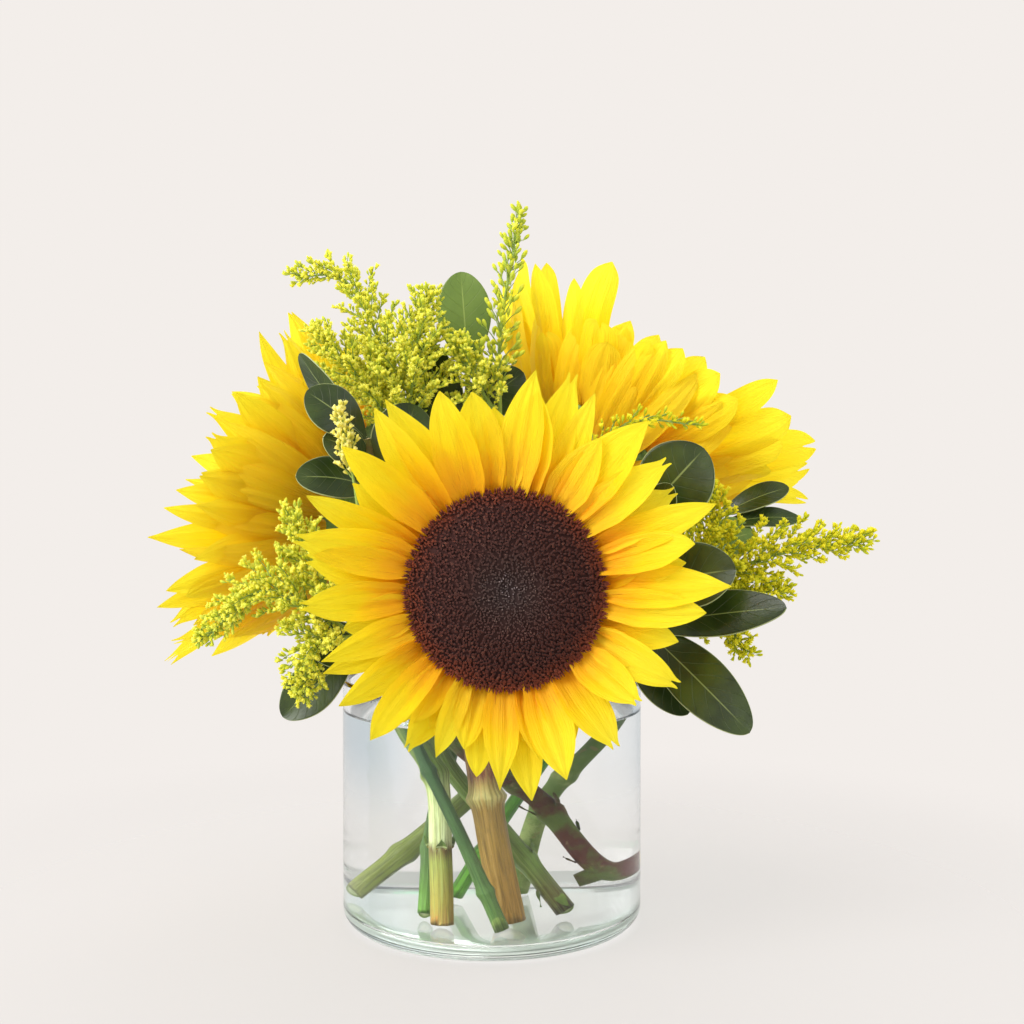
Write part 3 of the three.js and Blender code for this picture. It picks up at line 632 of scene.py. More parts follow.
def make_vase():
    radius, height, wall, floor = VASE["radius"], VASE["height"], VASE["wall"], VASE["floor"]
    heel, inner_heel = VASE["heel"], VASE["inner_heel"]
    lip = wall / 2
    profile = [(TINY, 0), (radius / 2, 0)]
    profile += arc((radius - heel, heel), heel, -90, 0, 10)
    profile += arc((radius - lip, height - lip), lip, 0, 180)
    profile += arc((radius - wall - inner_heel, floor + inner_heel), inner_heel, 0, -90)
    profile += [(radius / 2, floor), (TINY, floor)]
    profile = with_guards(profile)
    dry, wet, underside = range(3)
    faces = []
    for r, z in profile[:-1]:
        under = z < TINY and r < radius - heel - TINY
        in_water = r < radius - wall + TINY and floor - TINY < z < WATER_LEVEL
        faces.append(underside if under else wet if in_water else dry)
    shape = Shape()
    lathe(shape, profile, VASE["sides"], faces)
    skins = [
        glass_material("vase_glass", GLOSSY),
        glass_material("vase_glass_wet", UNSEEN),
        glass_material("vase_underside", GLOSSY, FROST),
    ]
    piece("vase_cylinder", shape, skins, "vase").data.set_sharp_from_angle(angle=CREASE)


def make_water():
    edge = VASE["radius"] - VASE["wall"] + WATER_OVERLAP
    bottom = VASE["floor"] - WATER_OVERLAP
    inner_heel = VASE["inner_heel"]
    profile = [(TINY, bottom), (edge / 2, bottom)]
    profile += arc((edge - inner_heel, bottom + inner_heel), inner_heel, -90, 0)
    rise, reach = MENISCUS["rise"], MENISCUS["reach"]
    for share in np.linspace(0, 1, 9):
        profile.append((edge - WATER_OVERLAP - reach * share, WATER_LEVEL + rise * (1 - share) ** 3))
    profile += [(edge / 2, WATER_LEVEL), (TINY, WATER_LEVEL)]
    profile = with_guards(profile)
    against_glass = [int(z < WATER_LEVEL - 0.5) for _, z in profile[:-1]]
    shape = Shape()
    lathe(shape, profile, VASE["sides"], against_glass)
    skins = [water_material("water_surface", GLOSSY, 0.15), water_material("water_at_glass", UNSEEN, 0.0)]
    piece("water_body", shape, skins, "water").data.set_sharp_from_angle(angle=CREASE)


# ---- Sunflowers ----

# The petals of each bloom: the way each points, in degrees clockwise from up as one faces the bloom, its
# tip's distance from the middle as a share of the disc's radius, and how many rows back it stands.
PETALS = {
    "front": [
        (5, 2.2, 0), (11, 2.03, 1), (17.5, 2.26, 2), (25, 2.1, 1), (31.5, 1.78, 0), (38, 2.2, 1),
        (50, 2.06, 0), (61, 1.95, 2), (67, 2.2, 1), (75, 1.95, 0), (82, 1.85, 2), (89, 2.18, 1),
        (98, 1.96, 0), (108, 1.8, 2), (119, 1.93, 1), (132, 1.75, 0), (146, 1.88, 1), (156, 1.7, 2),
        (162, 1.94, 0), (169, 1.72, 1),
        (175, 2.08, 2), (183, 1.92, 0), (191, 1.9, 2), (197, 1.66, 1), (205, 1.76, 0), (212, 1.88, 2),
        (218, 1.65, 1), (225, 2.02, 0), (236, 2, 1), (244, 1.98, 2), (250, 1.94, 0), (258, 1.66, 1),
        (266, 2.02, 0), (274, 1.8, 2), (279, 2.02, 1), (286, 2.1, 0), (295, 2.14, 1), (304, 1.9, 2),
        (311.5, 2.2, 0), (322, 2.2, 1), (329, 2.2, 2), (339, 2.06, 0), (349, 1.98, 1), (357, 1.85, 2),
    ],
    "left": [
        (5, 2.26, 0), (13, 2.28, 1), (24, 2.16, 2), (32, 2.14, 0), (43, 1.94, 1), (52, 2, 2), (61, 2, 0),
        (72, 2, 1), (82, 1.94, 2), (90, 1.97, 0), (98, 2.1, 1), (108, 2.08, 0), (123, 2.2, 2), (132, 2.22, 1),
        (141, 2.1, 0), (149, 2.34, 2), (157, 2.42, 1), (166, 2.45, 0), (178, 2.3, 1), (192, 2.2, 0),
        (207, 2.25, 2), (222, 2.2, 1), (237, 2.3, 0), (252, 2.2, 2), (267, 2.25, 1), (282, 2.15, 0),
        (297, 2.25, 2), (312, 2.2, 1), (327, 2.3, 0), (341, 2.2, 2), (354, 2.2, 1),
    ],
    "right": [
        (0, 2.2, 1), (15, 2.3, 0), (31, 2.4, 2), (46, 2.3, 1), (61, 2.25, 0), (76, 2.2, 2), (91, 2.25, 1),
        (106, 2.2, 0), (121, 2.25, 2), (136, 2.2, 1), (150, 2.25, 0), (164, 2.2, 2), (178, 2.25, 1),
        (191, 2.3, 0), (204, 2.38, 2), (218, 2.34, 1), (229, 2.3, 0), (237, 2.2, 2), (245, 2.34, 1),
        (256, 2.26, 0), (264, 2.16, 2), (272, 2.1, 1), (279, 2.03, 0), (287, 2.12, 2), (296, 2.02, 1),
        (306, 1.84, 0), (312, 2.06, 2), (320, 2.34, 1), (329, 2.1, 0), (338, 2.32, 2), (349, 2.1, 0),
    ],
}

# Each bloom's middle and the way it faces, its main petals' rise and further bend in degrees, their breadth,
# how far they lean to face the camera and how blunt they are, the ring of extra petals behind them, and the
# number of mantle petals, with the way they are nearest to the camera.
SUNFLOWERS = {
    "front": {
        "centre": (4.5, -62, 125.5), "faces": (0.03, -1, 0.06), "rise": 27, "bend": 8,
        "broad": 0.99, "lean": 0, "blunt": 0.15, "extra": 31, "extra_row": 2.3, "extra_reach": 1.45,
        "mantle": 0, "near": 0,
    },
    "left": {
        "centre": (-68.5, 33, 151), "faces": (-0.885, 0.34, 0.32), "rise": 34, "bend": 9,
        "broad": 0.98, "lean": 0.35, "blunt": 0.1, "extra": 26, "extra_row": 2.6, "extra_reach": 1.95,
        "mantle": 15, "near": 100,
    },
    "right": {
        "centre": (47.4, 38, 179), "faces": (0.578, 0.182, 0.795), "rise": 37, "bend": 8,
        "broad": 0.95, "lean": 0.45, "blunt": 1.9, "extra": 14, "extra_row": 2.6, "extra_reach": 1.95,
        "mantle": 11, "near": 290,
    },
}


def bloom_axes(bloom):
    """A bloom's middle, the directions across and up in its disc's plane, and the way it faces."""
    facing = unit(vec(*bloom["faces"]))
    upward = unit(vec(0, 0, 1) - facing * facing[2])
    return vec(*bloom["centre"]), np.cross(upward, facing), upward, facing


def petal(shape, root, out, up, length, width, bend, sway, roll, blunt, seed, tone):
    """One ray petal: a curved sheet, channelled at its root, grooved and drawn to a point or a notch."""
    rows, columns = PETAL_GRID
    s = np.linspace(0, 1, rows)[:, None]
    u = np.linspace(-1, 1, columns)[None]
    side = unit(np.cross(out, up))
    curl = math.radians(PETAL["curl"]) * spread(seed, 1)
    angle = bend * s + curl * smooth_step(0.55, 1.1, s)
    tangent = out * np.cos(angle) + up * np.sin(angle)
    steps = np.vstack([np.zeros((1, 3)), (tangent[1:] + tangent[:-1]) / 2])
    spine = root + np.cumsum(steps, axis=0) * length / (rows - 1) + side * sway * length * s**2
    normal = up * np.cos(angle) - out * np.sin(angle)
    twist = roll + math.radians(PETAL["twist"]) * spread(seed, 2) * s**1.5
    turned_side = side * np.cos(twist) + normal * np.sin(twist)
    turned_normal = normal * np.cos(twist) - side * np.sin(twist)

    # The outline: its half width along the petal, whose end is a thin point or a broader notched tip.
    widest = 0.4 + 0.08 * spread(seed, 12) + 0.04 * blunt
    swell = 0.56 + 0.44 * np.sin(0.5 * math.pi * np.minimum(1, s / widest))
    past_widest = np.clip((s - widest) / (1 - widest), 0, 1)
    taper = np.maximum(0, 1 - past_widest ** (2.2 + 0.5 * spread(seed, 3) + blunt))
    half = width / 2 * swell * taper ** (1.05 + 0.2 * spread(seed, 4) - 0.4 * blunt)
    notched = draw(seed, 13) > 0.8
    half = np.maximum(half, width * (0.11 if notched else 0.012) * smooth_step(0.5, 0.8, s))

    # The relief: folded up along its middle, with two grooves, fine ribs at its root and a ruffled edge.
    fold = 0.36 * (1 - s) ** 2 + 0.12 + 0.12 * spread(seed, 5)
    lift = half * fold * u**2
    groove = 0.36 + 0.1 * spread(seed, 6)
    depth = (0.9 + 0.4 * spread(seed, 7)) * np.sin(math.pi * np.clip(s, 0, 1) ** 0.8) ** 0.6
    for middle in (groove, -groove):
        lift = lift - depth * np.exp(-(((u - middle) / 0.17) ** 2))
    lift = lift + 0.28 * np.sin(15 * u + 6 * draw(seed, 15)) * (1 - s) ** 1.5
    phase = 6 * draw(seed, 8)
    ruffle = 0.55 + 0.4 * spread(seed, 9)
    lift = lift + ruffle * u**2 * np.sin(8 * s + phase + 1.4 * u) * s * half / (width / 2)
    off = u * half * (1 + 0.035 * np.sin(23 * s + 5 * phase) * (1 - s))

    notch = (0.09 if notched else 0) * smooth_step(0.82, 1, s) * np.exp(-((u / 0.4) ** 2))
    spine = spine[:, None] - tangent[:, None] * (notch * length)[:, :, None]
    add_sheet(shape, spine, turned_side[:, None], turned_normal[:, None], off, lift, s, u, tone)


def make_petals(name, material):
    bloom = SUNFLOWERS[name]
    middle, across, upward, facing = bloom_axes(bloom)
    places = [(*place, i) for i, place in enumerate(PETALS[name])]
    for i in range(bloom["extra"]):
        angle = 360 * (i + 0.3 * spread(31, i)) / bloom["extra"]
        places.append((angle, bloom["extra_reach"] + 0.2 * spread(32, i), bloom["extra_row"], 100 + i))
    for i in range(bloom["mantle"]):
        angle = bloom["near"] + MANTLE["span"] * ((i + 0.5 + 0.3 * spread(34, i)) / bloom["mantle"] - 0.5)
        places.append((angle, 1, MANTLE["row"] + i % 2, 150 + i))
    shape = Shape()
    for angle, reach, row, i in places:
        turn = math.radians(angle)
        way = upward * math.cos(turn) + across * math.sin(turn)
        rise = math.radians(bloom["rise"] - 2.5 * row + 2 * spread(7, i))
        bend = math.radians(bloom["bend"] + 5 * spread(8, i))
        inner = PETAL["root"]
        length = (reach * DISC_RADIUS - inner) / math.cos(rise + bend / 2)
        if row >= MANTLE["row"]:
            inner -= MANTLE["inward"] * (row - 2.6)
            rise = math.radians(MANTLE["rise"] + 3 * spread(36, i))
            bend = math.radians(MANTLE["bend"] + 6 * spread(8, i))
            length = MANTLE["length"] * (1 + 0.12 * spread(35, i))
        out = way * math.cos(rise) + facing * math.sin(rise)
        up = facing * math.cos(rise) - way * math.sin(rise)
        lean = math.atan2(np.cross(out, up)[1], -up[1])
        lean = (lean + math.pi / 2) % math.pi - math.pi / 2
        slimmer = math.exp(-(((angle - 215) / 62) ** 2)) if name == "front" else 0
        petal(
            shape,
            root=middle + way * inner - facing * (PETAL["row_depth"] * row + PETAL["root_depth"]),
            out=out,
            up=up,
            length=length,
            width=PETAL["width"] * bloom["broad"] * (1 + 0.2 * spread(9, i)) * (1 - 0.25 * slimmer),
            bend=bend,
            sway=0.06 * spread(10, i),
            roll=math.radians(9 + 11 * spread(14, i)) + bloom["lean"] * lean,
            blunt=bloom["blunt"] * (0.4 + 0.6 * draw(33, i)),
            seed=40 + i,
            tone=draw(11, i),
        )
    piece(f"{name}_bloom_petals", shape, [material], f"sunflower_{name}_petals", subdivide=1)


def dome_height(share):
    """The height of the disc's face at a share of its radius: a low ring round a hollowed middle."""
    return DISC_DOME * np.sin(math.pi * np.minimum(1, 0.28 + 0.72 * share)) + 0.6


def star_template(lobes, profile, lobe_radius, lobe_height):
    """A little tube, given by its (radius, height) rings, that opens in pointed lobes."""
    sides = 2 * lobes
    turns = round_turns(sides)
    mouth_radius, mouth_height = profile[-1]
    between = np.arange(sides) % 2
    reach = np.where(between, mouth_radius, lobe_radius)
    lift = np.where(between, mouth_height, lobe_height)
    lobe_ring = np.column_stack([reach * np.cos(turns), reach * np.sin(turns), lift])
    points = np.vstack([*ring_points(profile, turns), lobe_ring, vec(0, 0, mouth_height - 0.15)])
    last = len(profile) * sides
    faces = grid_faces(len(profile) + 1, sides, closed=True) + fan_faces(last, sides, last + sides)
    marks = np.zeros((len(points), 3))
    marks[:, 1] = points[:, 2] / lobe_height
    return points, faces, marks


def spike_template(sides, profile, tip):
    """A thin spike, given by its (radius, height) rings, that ends in a point at the tip's height."""
    points = np.vstack([*ring_points(profile, round_turns(sides)), vec(0, 0, tip)])
    last = (len(profile) - 1) * sides
    faces = grid_faces(len(profile), sides, closed=True) + fan_faces(last, sides, last + sides)
    marks = np.zeros((len(points), 3))
    marks[:, 1] = points[:, 2] / tip
    return points, faces, marks


def add_florets(shape, axes, template, share, turn, sink, size, stretch, lean, tones, spins):
    """Sets florets on a disc at shares of its radius and turns round it, leaning outward."""
    middle, across, upward, facing = axes
    x = share * np.cos(turn) + HEART[0] * (1 - share**2)
    y = share * np.sin(turn) + HEART[1] * (1 - share**2)
    reach = np.hypot(x, y)
    outward = x[:, None] * across + y[:, None] * upward
    places = middle + DISC_RADIUS * outward + (dome_height(reach) - sink)[:, None] * facing
    directions = facing + outward / np.maximum(reach, 1e-3)[:, None] * lean(reach)[:, None]
    shape.add_copies(template, places, directions, np.column_stack([size, size, stretch]), spins, tones)
    shape.marks[-1][:, 0] = np.repeat(reach, len(template[0]))


def make_disc(name, material):
    axes = bloom_axes(SUNFLOWERS[name])
    shape = Shape()
    profile = [(DISC_RADIUS * t * 0.985, dome_height(t) - 0.7) for t in np.linspace(0.001, 1, 14)]
    profile += [(DISC_RADIUS * 0.99, -DISC_THICK), (TINY, -DISC_THICK)]
    lathe(shape, profile, DISC_SIDES, at=axes)
    shape.marks[0][:, 0] = np.repeat([radius / DISC_RADIUS for radius, _ in profile], DISC_SIDES)
    shape.marks[0][:, 1] = 0

    # Closed buds in the middle and open stars round them, all on one spiral.
    index = np.arange(FLORETS) + 0.5
    share = np.sqrt(index / FLORETS) * 0.985
    rng = np.random.default_rng(5)
    turn = index * GOLDEN_ANGLE + 0.024 * rng.standard_normal(FLORETS) / share
    share = share * (1 + 0.008 * rng.standard_normal(FLORETS))
    tones = rng.random(FLORETS)
    spins = rng.random(FLORETS) * WHOLE_TURN
    outer = share > 0.4
    inner = ~outer
    bud = spike_template(5, [(0.4, 0), (0.44, 0.5), (0.28, 0.9)], 1.05)
    star = star_template(4, [(0.28, 0), (0.3, 0.8), (0.26, 1.15)], 0.52, 1.5)
    add_florets(
        shape, axes, bud, share[inner], turn[inner], 0.45, 0.62 + 0.36 * share[inner],
        0.8 + 0.25 * tones[inner], lambda r: 0.2 * r, tones[inner], spins[inner],
    )
    add_florets(
        shape, axes, star, share[outer], turn[outer], 0.7, 0.8 + 0.14 * tones[outer],
        0.9 + 0.2 * tones[outer], lambda r: 0.35 * r, tones[outer], spins[outer],
    )

    # The fringe: rows of needles, drawn together in tufts.
    needle = spike_template(4, [(0.42, 0), (0.44, 0.7), (0.27, 1.4)], 2.5)
    for row, (reach, lean, size) in enumerate(RIM_ROWS):
        uneven = 1.1 * (rng.random(RIM_FLORETS) - 0.5)
        turns = (np.arange(RIM_FLORETS) + 0.33 * row + uneven) * 2 * math.pi / RIM_FLORETS
        turns += 0.85 * np.sin(RIM_TUFTS * turns + 2 * np.sin(3 * turns)) / RIM_TUFTS
        tuft = 0.5 + 0.5 * np.sin(11 * turns + row) * np.sin(29 * turns)
        sizes = size * (0.62 + 0.4 * rng.random(RIM_FLORETS) + 0.3 * tuft)
        tilt = lean * (0.7 + 0.3 * rng.random(RIM_FLORETS) + 0.4 * tuft)
        add_florets(
            shape, axes, needle, np.full(RIM_FLORETS, reach), turns, 0.7, sizes, sizes,
            lambda r, t=tilt: t, rng.random(RIM_FLORETS), rng.random(RIM_FLORETS) * WHOLE_TURN,
        )
    piece(f"{name}_bloom_disc", shape, [material], f"sunflower_{name}_disc")


def bract(shape, root, out, up, length, width, seed):
    """A green bract or scale: a short pointed sheet that curls a little."""
    rows, columns = BRACT_GRID
    s = np.linspace(0, 1, rows)[:, None]
    u = np.linspace(-1, 1, columns)[None]
    side = unit(np.cross(out, up))
    angle = math.radians(6 + 10 * spread(seed, 1)) * s
    spine = root + out * length * s + up * length * (1 - np.cos(angle)) * 2
    normal = up * np.cos(angle) - out * np.sin(angle)
    half = width / 2 * (1 - s**1.7) ** 1.25 * (0.85 + 0.3 * s * (1 - s) * 4)
    lift = half * 0.25 * u**2 + 0.4 * np.sin(7 * s + 9 * draw(seed, 2)) * u * s
    add_sheet(shape, spine[:, None], side, normal[:, None], u * half, lift, s, u, draw(seed, 3))


# ---- Stems that stand in the vase ----
# A stem's foot is where its cut end rests, its way the points it passes from there up to where it carries,
# and its radius the one at its foot and the one at its top. Its scales are thin pointed flaps of its skin,
# each given by its share of the length, its turn round the stem in degrees, and its length, which is below 0
# where it hangs. lift is how far its foot is off the vase's floor.
STEMS = {
    "front": {
        "foot": (5.4, -24),
        "way": [(-1, -21, 45), (-5, -16, 84), (-3, -20, 106), (1, -36, 121), (4, -53, 125)],
        "radius": (4.9, 3.9),
    },
    "left": {
        "foot": (-15, -25),
        "way": [
            (-15.5, -24, 30), (-17, -21, 58), (-25, -14, 73), (-32, -4, 92), (-42, 14, 116), (-50, 26, 140),
            (-59.5, 29.3, 147.7),
        ],
        "radius": (3.7, 3.4),
        "scales": [(0.17, 40, 5), (0.17, 160, 4), (0.17, 280, 5)],
    },
    "right": {
        "foot": (-38, 8),
        "way": [(-6.5, 10, 45), (18, 16, 75), (29, 21, 95), (34, 28, 130), (41, 36, 170)],
        "radius": (2.9, 3.4),
    },
    "goldenrod_left": {
        "foot": (3.4, -34),
        "way": [(-10, -33, 40), (-20, -31, 62), (-31, -29, 86), (-46, -38, 108)],
        "radius": (2.4, 1.5),
    },
    "goldenrod_top": {
        "foot": (22, -12),
        "way": [(4, -10, 35), (-14, -8, 63), (-21, -4, 90), (-25, 2, 130), (-31, 6, 175)],
        "radius": (3.1, 1.6),
        "scales": [
            (0.04, 200, -6), (0.05, 20, -5), (0.07, 110, -6), (0.13, 250, 5), (0.13, 60, 5), (0.2, 150, 4),
        ],
    },
    "goldenrod_right": {
        "foot": (-10, 18),
        "way": [(2, 14, 35), (16, 8, 63), (30, 0, 90), (46, -8, 106), (66, -12, 118)],
        "radius": (2.1, 1.5),
    },
    "goldenrod_centre": {
        "foot": (-19.5, -13),
        "way": [(-17, -5, 35), (-11, 9, 62), (-5, 20, 88), (1, 18, 130), (3, 10, 185)],
        "radius": (2.2, 1.5),
    },
    "leafy_branch_left": {
        "foot": (42, 10),
        "lift": 11,
        "way": [
            (31, 8, 17), (12, 4, 46), (-8, 2, 64), (-25, 8, 90), (-34, -6, 118), (-40, -18, 150),
            (-44, -24, 176),
        ],
        "radius": (3.5, 1.3),
        "scales": [
            (0.1, 100, 5), (0.15, 280, 4), (0.21, 80, 6), (0.21, 230, 5), (0.28, 330, 6), (0.28, 150, 5),
        ],
    },
    "leafy_branch_right": {
        "foot": (6, 31),
        "way": [(13, 28, 40), (28, 21, 66), (40, 8, 90), (50, -12, 104), (51, -26, 122), (50, -34, 146)],
        "radius": (2.9, 1.3),
    },
}


def stem_path(name, steps):
    """The middle line of a stem, its foot just clear of the glass floor whatever its slant."""
    stem = STEMS[name]
    first, foot = stem["way"][0], stem["foot"]
    run = math.hypot(first[0] - foot[0], first[1] - foot[1])
    slant = math.sin(math.atan2(run, first[2] - VASE["floor"]))
    height = VASE["floor"] + GAP + 0.1 + stem.get("lift", 0) + stem["radius"][0] * slant
    return smooth_path([(*foot, height), *stem["way"]], steps)


def add_stem(shape, name, nodes, ribs=8, rib_depth=0.03, slant=0.0):
    """A stem from its cut foot to its top, with a swelling at each node, given as a share of its length."""
    start, end = STEMS[name]["radius"]
    path = stem_path(name, STEM_STEPS)
    t = np.linspace(0, 1, len(path))
    radii = start + (end - start) * t
    for node in nodes:
        for swelling, width in ((0.22, 0.012), (0.1, 0.03)):
            radii += start * swelling * np.exp(-(((t - node) / width) ** 2))
    tube(shape, path, radii, STEM_SIDES, cut_skin=1, ribs=ribs, rib_depth=rib_depth, slant=slant)
    tangents, normals, binormals = frames_along(path)
    for share, degrees, length in STEMS[name].get("scales", ()):
        at = round(share * (len(path) - 1))
        turn = math.radians(degrees)
        way = normals[at] * math.cos(turn) + binormals[at] * math.sin(turn)
        out = unit(math.copysign(1, length) * tangents[at] + 0.45 * way)
        up = unit(way - out * way.dot(out))
        bract(shape, path[at] + way * radii[at] * 0.9, out, up, abs(length), SCALE_WIDTH, seed=degrees)


def make_bloom_stem(name, stem_skin, cut_skin, head_skin, nodes):
    bloom = SUNFLOWERS[name]
    axes = bloom_axes(bloom)
    middle, across, upward, facing = axes
    shape = Shape()
    add_stem(shape, name, nodes, slant=5)
    piece(f"{name}_bloom_stem", shape, [stem_skin, cut_skin], f"sunflower_{name}_stem")
    top = -DISC_THICK - GAP
    bowl = [
        (TINY, -HEAD_DEPTH), (5.5, -HEAD_DEPTH), (9, 0.6 - HEAD_DEPTH), (RING_OUTER * 0.62, -6),
        (RING_OUTER * 0.86, -4), (RING_OUTER - 1.2, -2), (RING_OUTER, -0.6), (RING_OUTER - 1, 0.2),
        (RING_OUTER - 3, -0.9), (TINY, -0.9),
    ]
    head = Shape()
    lathe(head, [(radius, top + height) for radius, height in bowl], HEAD_SIDES, at=axes)
    for i in range(BRACT["count"]):
        row = i % 2
        turn = 2 * math.pi * (i + 0.3 * spread(20, i)) / BRACT["count"]
        off_near = (math.degrees(turn) - bloom["near"] + 180) % 360 - 180
        if bloom["mantle"] and abs(off_near) < MANTLE["span"] / 2:
            continue
        way = upward * math.cos(turn) + across * math.sin(turn)
        rise = math.radians(BRACT["rise"] - 14 * row)
        bract(
            head,
            root=middle + way * (RING_OUTER - 4) + facing * (top - 1.4 - 0.9 * row),
            out=way * math.cos(rise) + facing * math.sin(rise),
            up=facing * math.cos(rise) - way * math.sin(rise),
            length=BRACT["length"] * (0.86 + 0.16 * spread(21, i)),
            width=BRACT["width"],
            seed=200 + i,
        )
    piece(f"{name}_bloom_head", head, [head_skin], f"sunflower_{name}_stem", subdivide=1)


# ---- Goldenrod ----
# Each plume's axis, its number of clubs of florets, how far they reach off it and its seed. It may also say
# how much of it is bare, how far apart its florets are, its share of closed buds, and its florets' growth and
# skin.
GOLDENRODS = {
    "goldenrod_left": [
        {"way": [(-46, -38, 108), (-60, -44, 117), (-77, -45, 124), (-97, -42, 108)],
         "clubs": 12, "reach": 19, "seed": 11},
        {"way": [(-46, -38, 108), (-57, -45, 128), (-68, -46, 149)], "clubs": 8, "reach": 18, "seed": 12},
        {"way": [(-46, -38, 108), (-59, -46, 106), (-64, -47, 90)], "clubs": 7, "reach": 17, "seed": 13},
        {"way": [(-46, -38, 108), (-45, -45, 150), (-51, -47, 184)],
         "clubs": 8, "reach": 11, "seed": 14, "bare": 0.7, "spacing": 0.7, "buds": 0.0, "skin": 2},
    ],
    "goldenrod_top": [
        {"way": [(-31, 6, 175), (-42, 6, 213), (-56, 8, 237), (-72, 8, 238)],
         "clubs": 12, "reach": 20, "seed": 21},
        {"way": [(-31, 6, 175), (-46, -2, 194), (-63, -6, 214)], "clubs": 9, "reach": 23, "seed": 22},
        {"way": [(-31, 6, 175), (-29, -4, 203), (-24, -8, 226)], "clubs": 10, "reach": 25, "seed": 23},
        {"way": [(-31, 6, 175), (-42, 22, 198), (-49, 34, 214)], "clubs": 8, "reach": 22, "seed": 24},
    ],
    "goldenrod_centre": [
        {"way": [(3, 10, 185), (3, 4, 215), (7, 4, 242), (10, 5, 260)],
         "clubs": 13, "reach": 11, "seed": 31, "spacing": 2.0, "buds": 0.8, "grown": 1.45},
        {"way": [(3, 10, 185), (-6, -2, 198), (-12, -6, 210)], "clubs": 7, "reach": 19, "seed": 32},
        {"way": [(1, 18, 130), (-8, 40, 165), (-14, 53, 192)],
         "clubs": 9, "reach": 23, "seed": 33, "bare": 0.2},
        {"way": [(1, 18, 130), (6, 48, 150), (12, 70, 166)],
         "clubs": 7, "reach": 19, "seed": 34, "bare": 0.3},
    ],
    "goldenrod_right": [
        {"way": [(66, -12, 118), (84, -16, 128), (108, -16, 136), (135, -12, 139)],
         "clubs": 12, "reach": 19, "seed": 41},
        {"way": [(66, -12, 118), (77, -17, 138), (79, -17, 156)], "clubs": 8, "reach": 19, "seed": 42},
        {"way": [(66, -12, 118), (82, -20, 112), (90, -23, 100)], "clubs": 6, "reach": 15, "seed": 43},
        {"way": [(66, -12, 118), (84, -18, 122), (104, -19, 121)], "clubs": 7, "reach": 15, "seed": 45},
        {"way": [(46, -8, 106), (34, -30, 140), (34, -41, 170), (48, -44, 181), (69, -45, 180)],
         "clubs": 7, "reach": 10, "seed": 44, "bare": 0.62, "spacing": 1.0, "buds": 0.5},
    ],
}


def floret_template(rays, ray_length):
    """A goldenrod floret on its short stalk: a green cup, a rounded tuft and a ring of short broad rays."""
    sides, top = 5, 2.6
    profile = [(0.13, 0), (0.42, 0.8), (0.66, 1.5), (0.72, 2.0), (0.45, 2.45)]
    points = [*ring_points(profile, round_turns(sides)), vec(0, 0, top)]
    last = (len(profile) - 1) * sides
    faces = grid_faces(len(profile), sides, closed=True) + fan_faces(last, sides, last + sides)
    count = last + sides + 1
    for i in range(rays):
        turn = 2 * math.pi * (i + 0.25 * spread(61, i)) / rays
        out = vec(math.cos(turn), math.sin(turn), 0)
        side = vec(-math.sin(turn), math.cos(turn), 0)
        reach = ray_length * (1 + 0.3 * spread(62, i))
        for r, z, half in ((0.5, 1.9, 0.2), (0.6 + 0.55 * reach, 2.35, 0.3)):
            points += [out * r - side * half + vec(0, 0, z), out * r + side * half + vec(0, 0, z)]
        points.append(out * (0.6 + reach) + vec(0, 0, top))
        faces += [(count, count + 1, count + 3, count + 2), (count + 2, count + 3, count + 4)]
        count += 5
    points = np.vstack(points)
    marks = np.zeros((len(points), 3))
    marks[:, 0] = 0.15 + 0.85 * points[:, 2] / top
    return points, faces, marks


def bud_template():
    """A closed goldenrod floret on its stalk: a slim green bud with a yellow tip."""
    profile = [(0.12, 0), (0.2, 0.6), (0.55, 1.4), (0.62, 2.3), (0.42, 3.0)]
    points, faces, marks = spike_template(5, profile, 3.4)
    marks[:, 0] = 0.12 + 0.7 * (points[:, 2] / 3.7) ** 1.5
    marks[:, 1] = 0
    return points, faces, marks


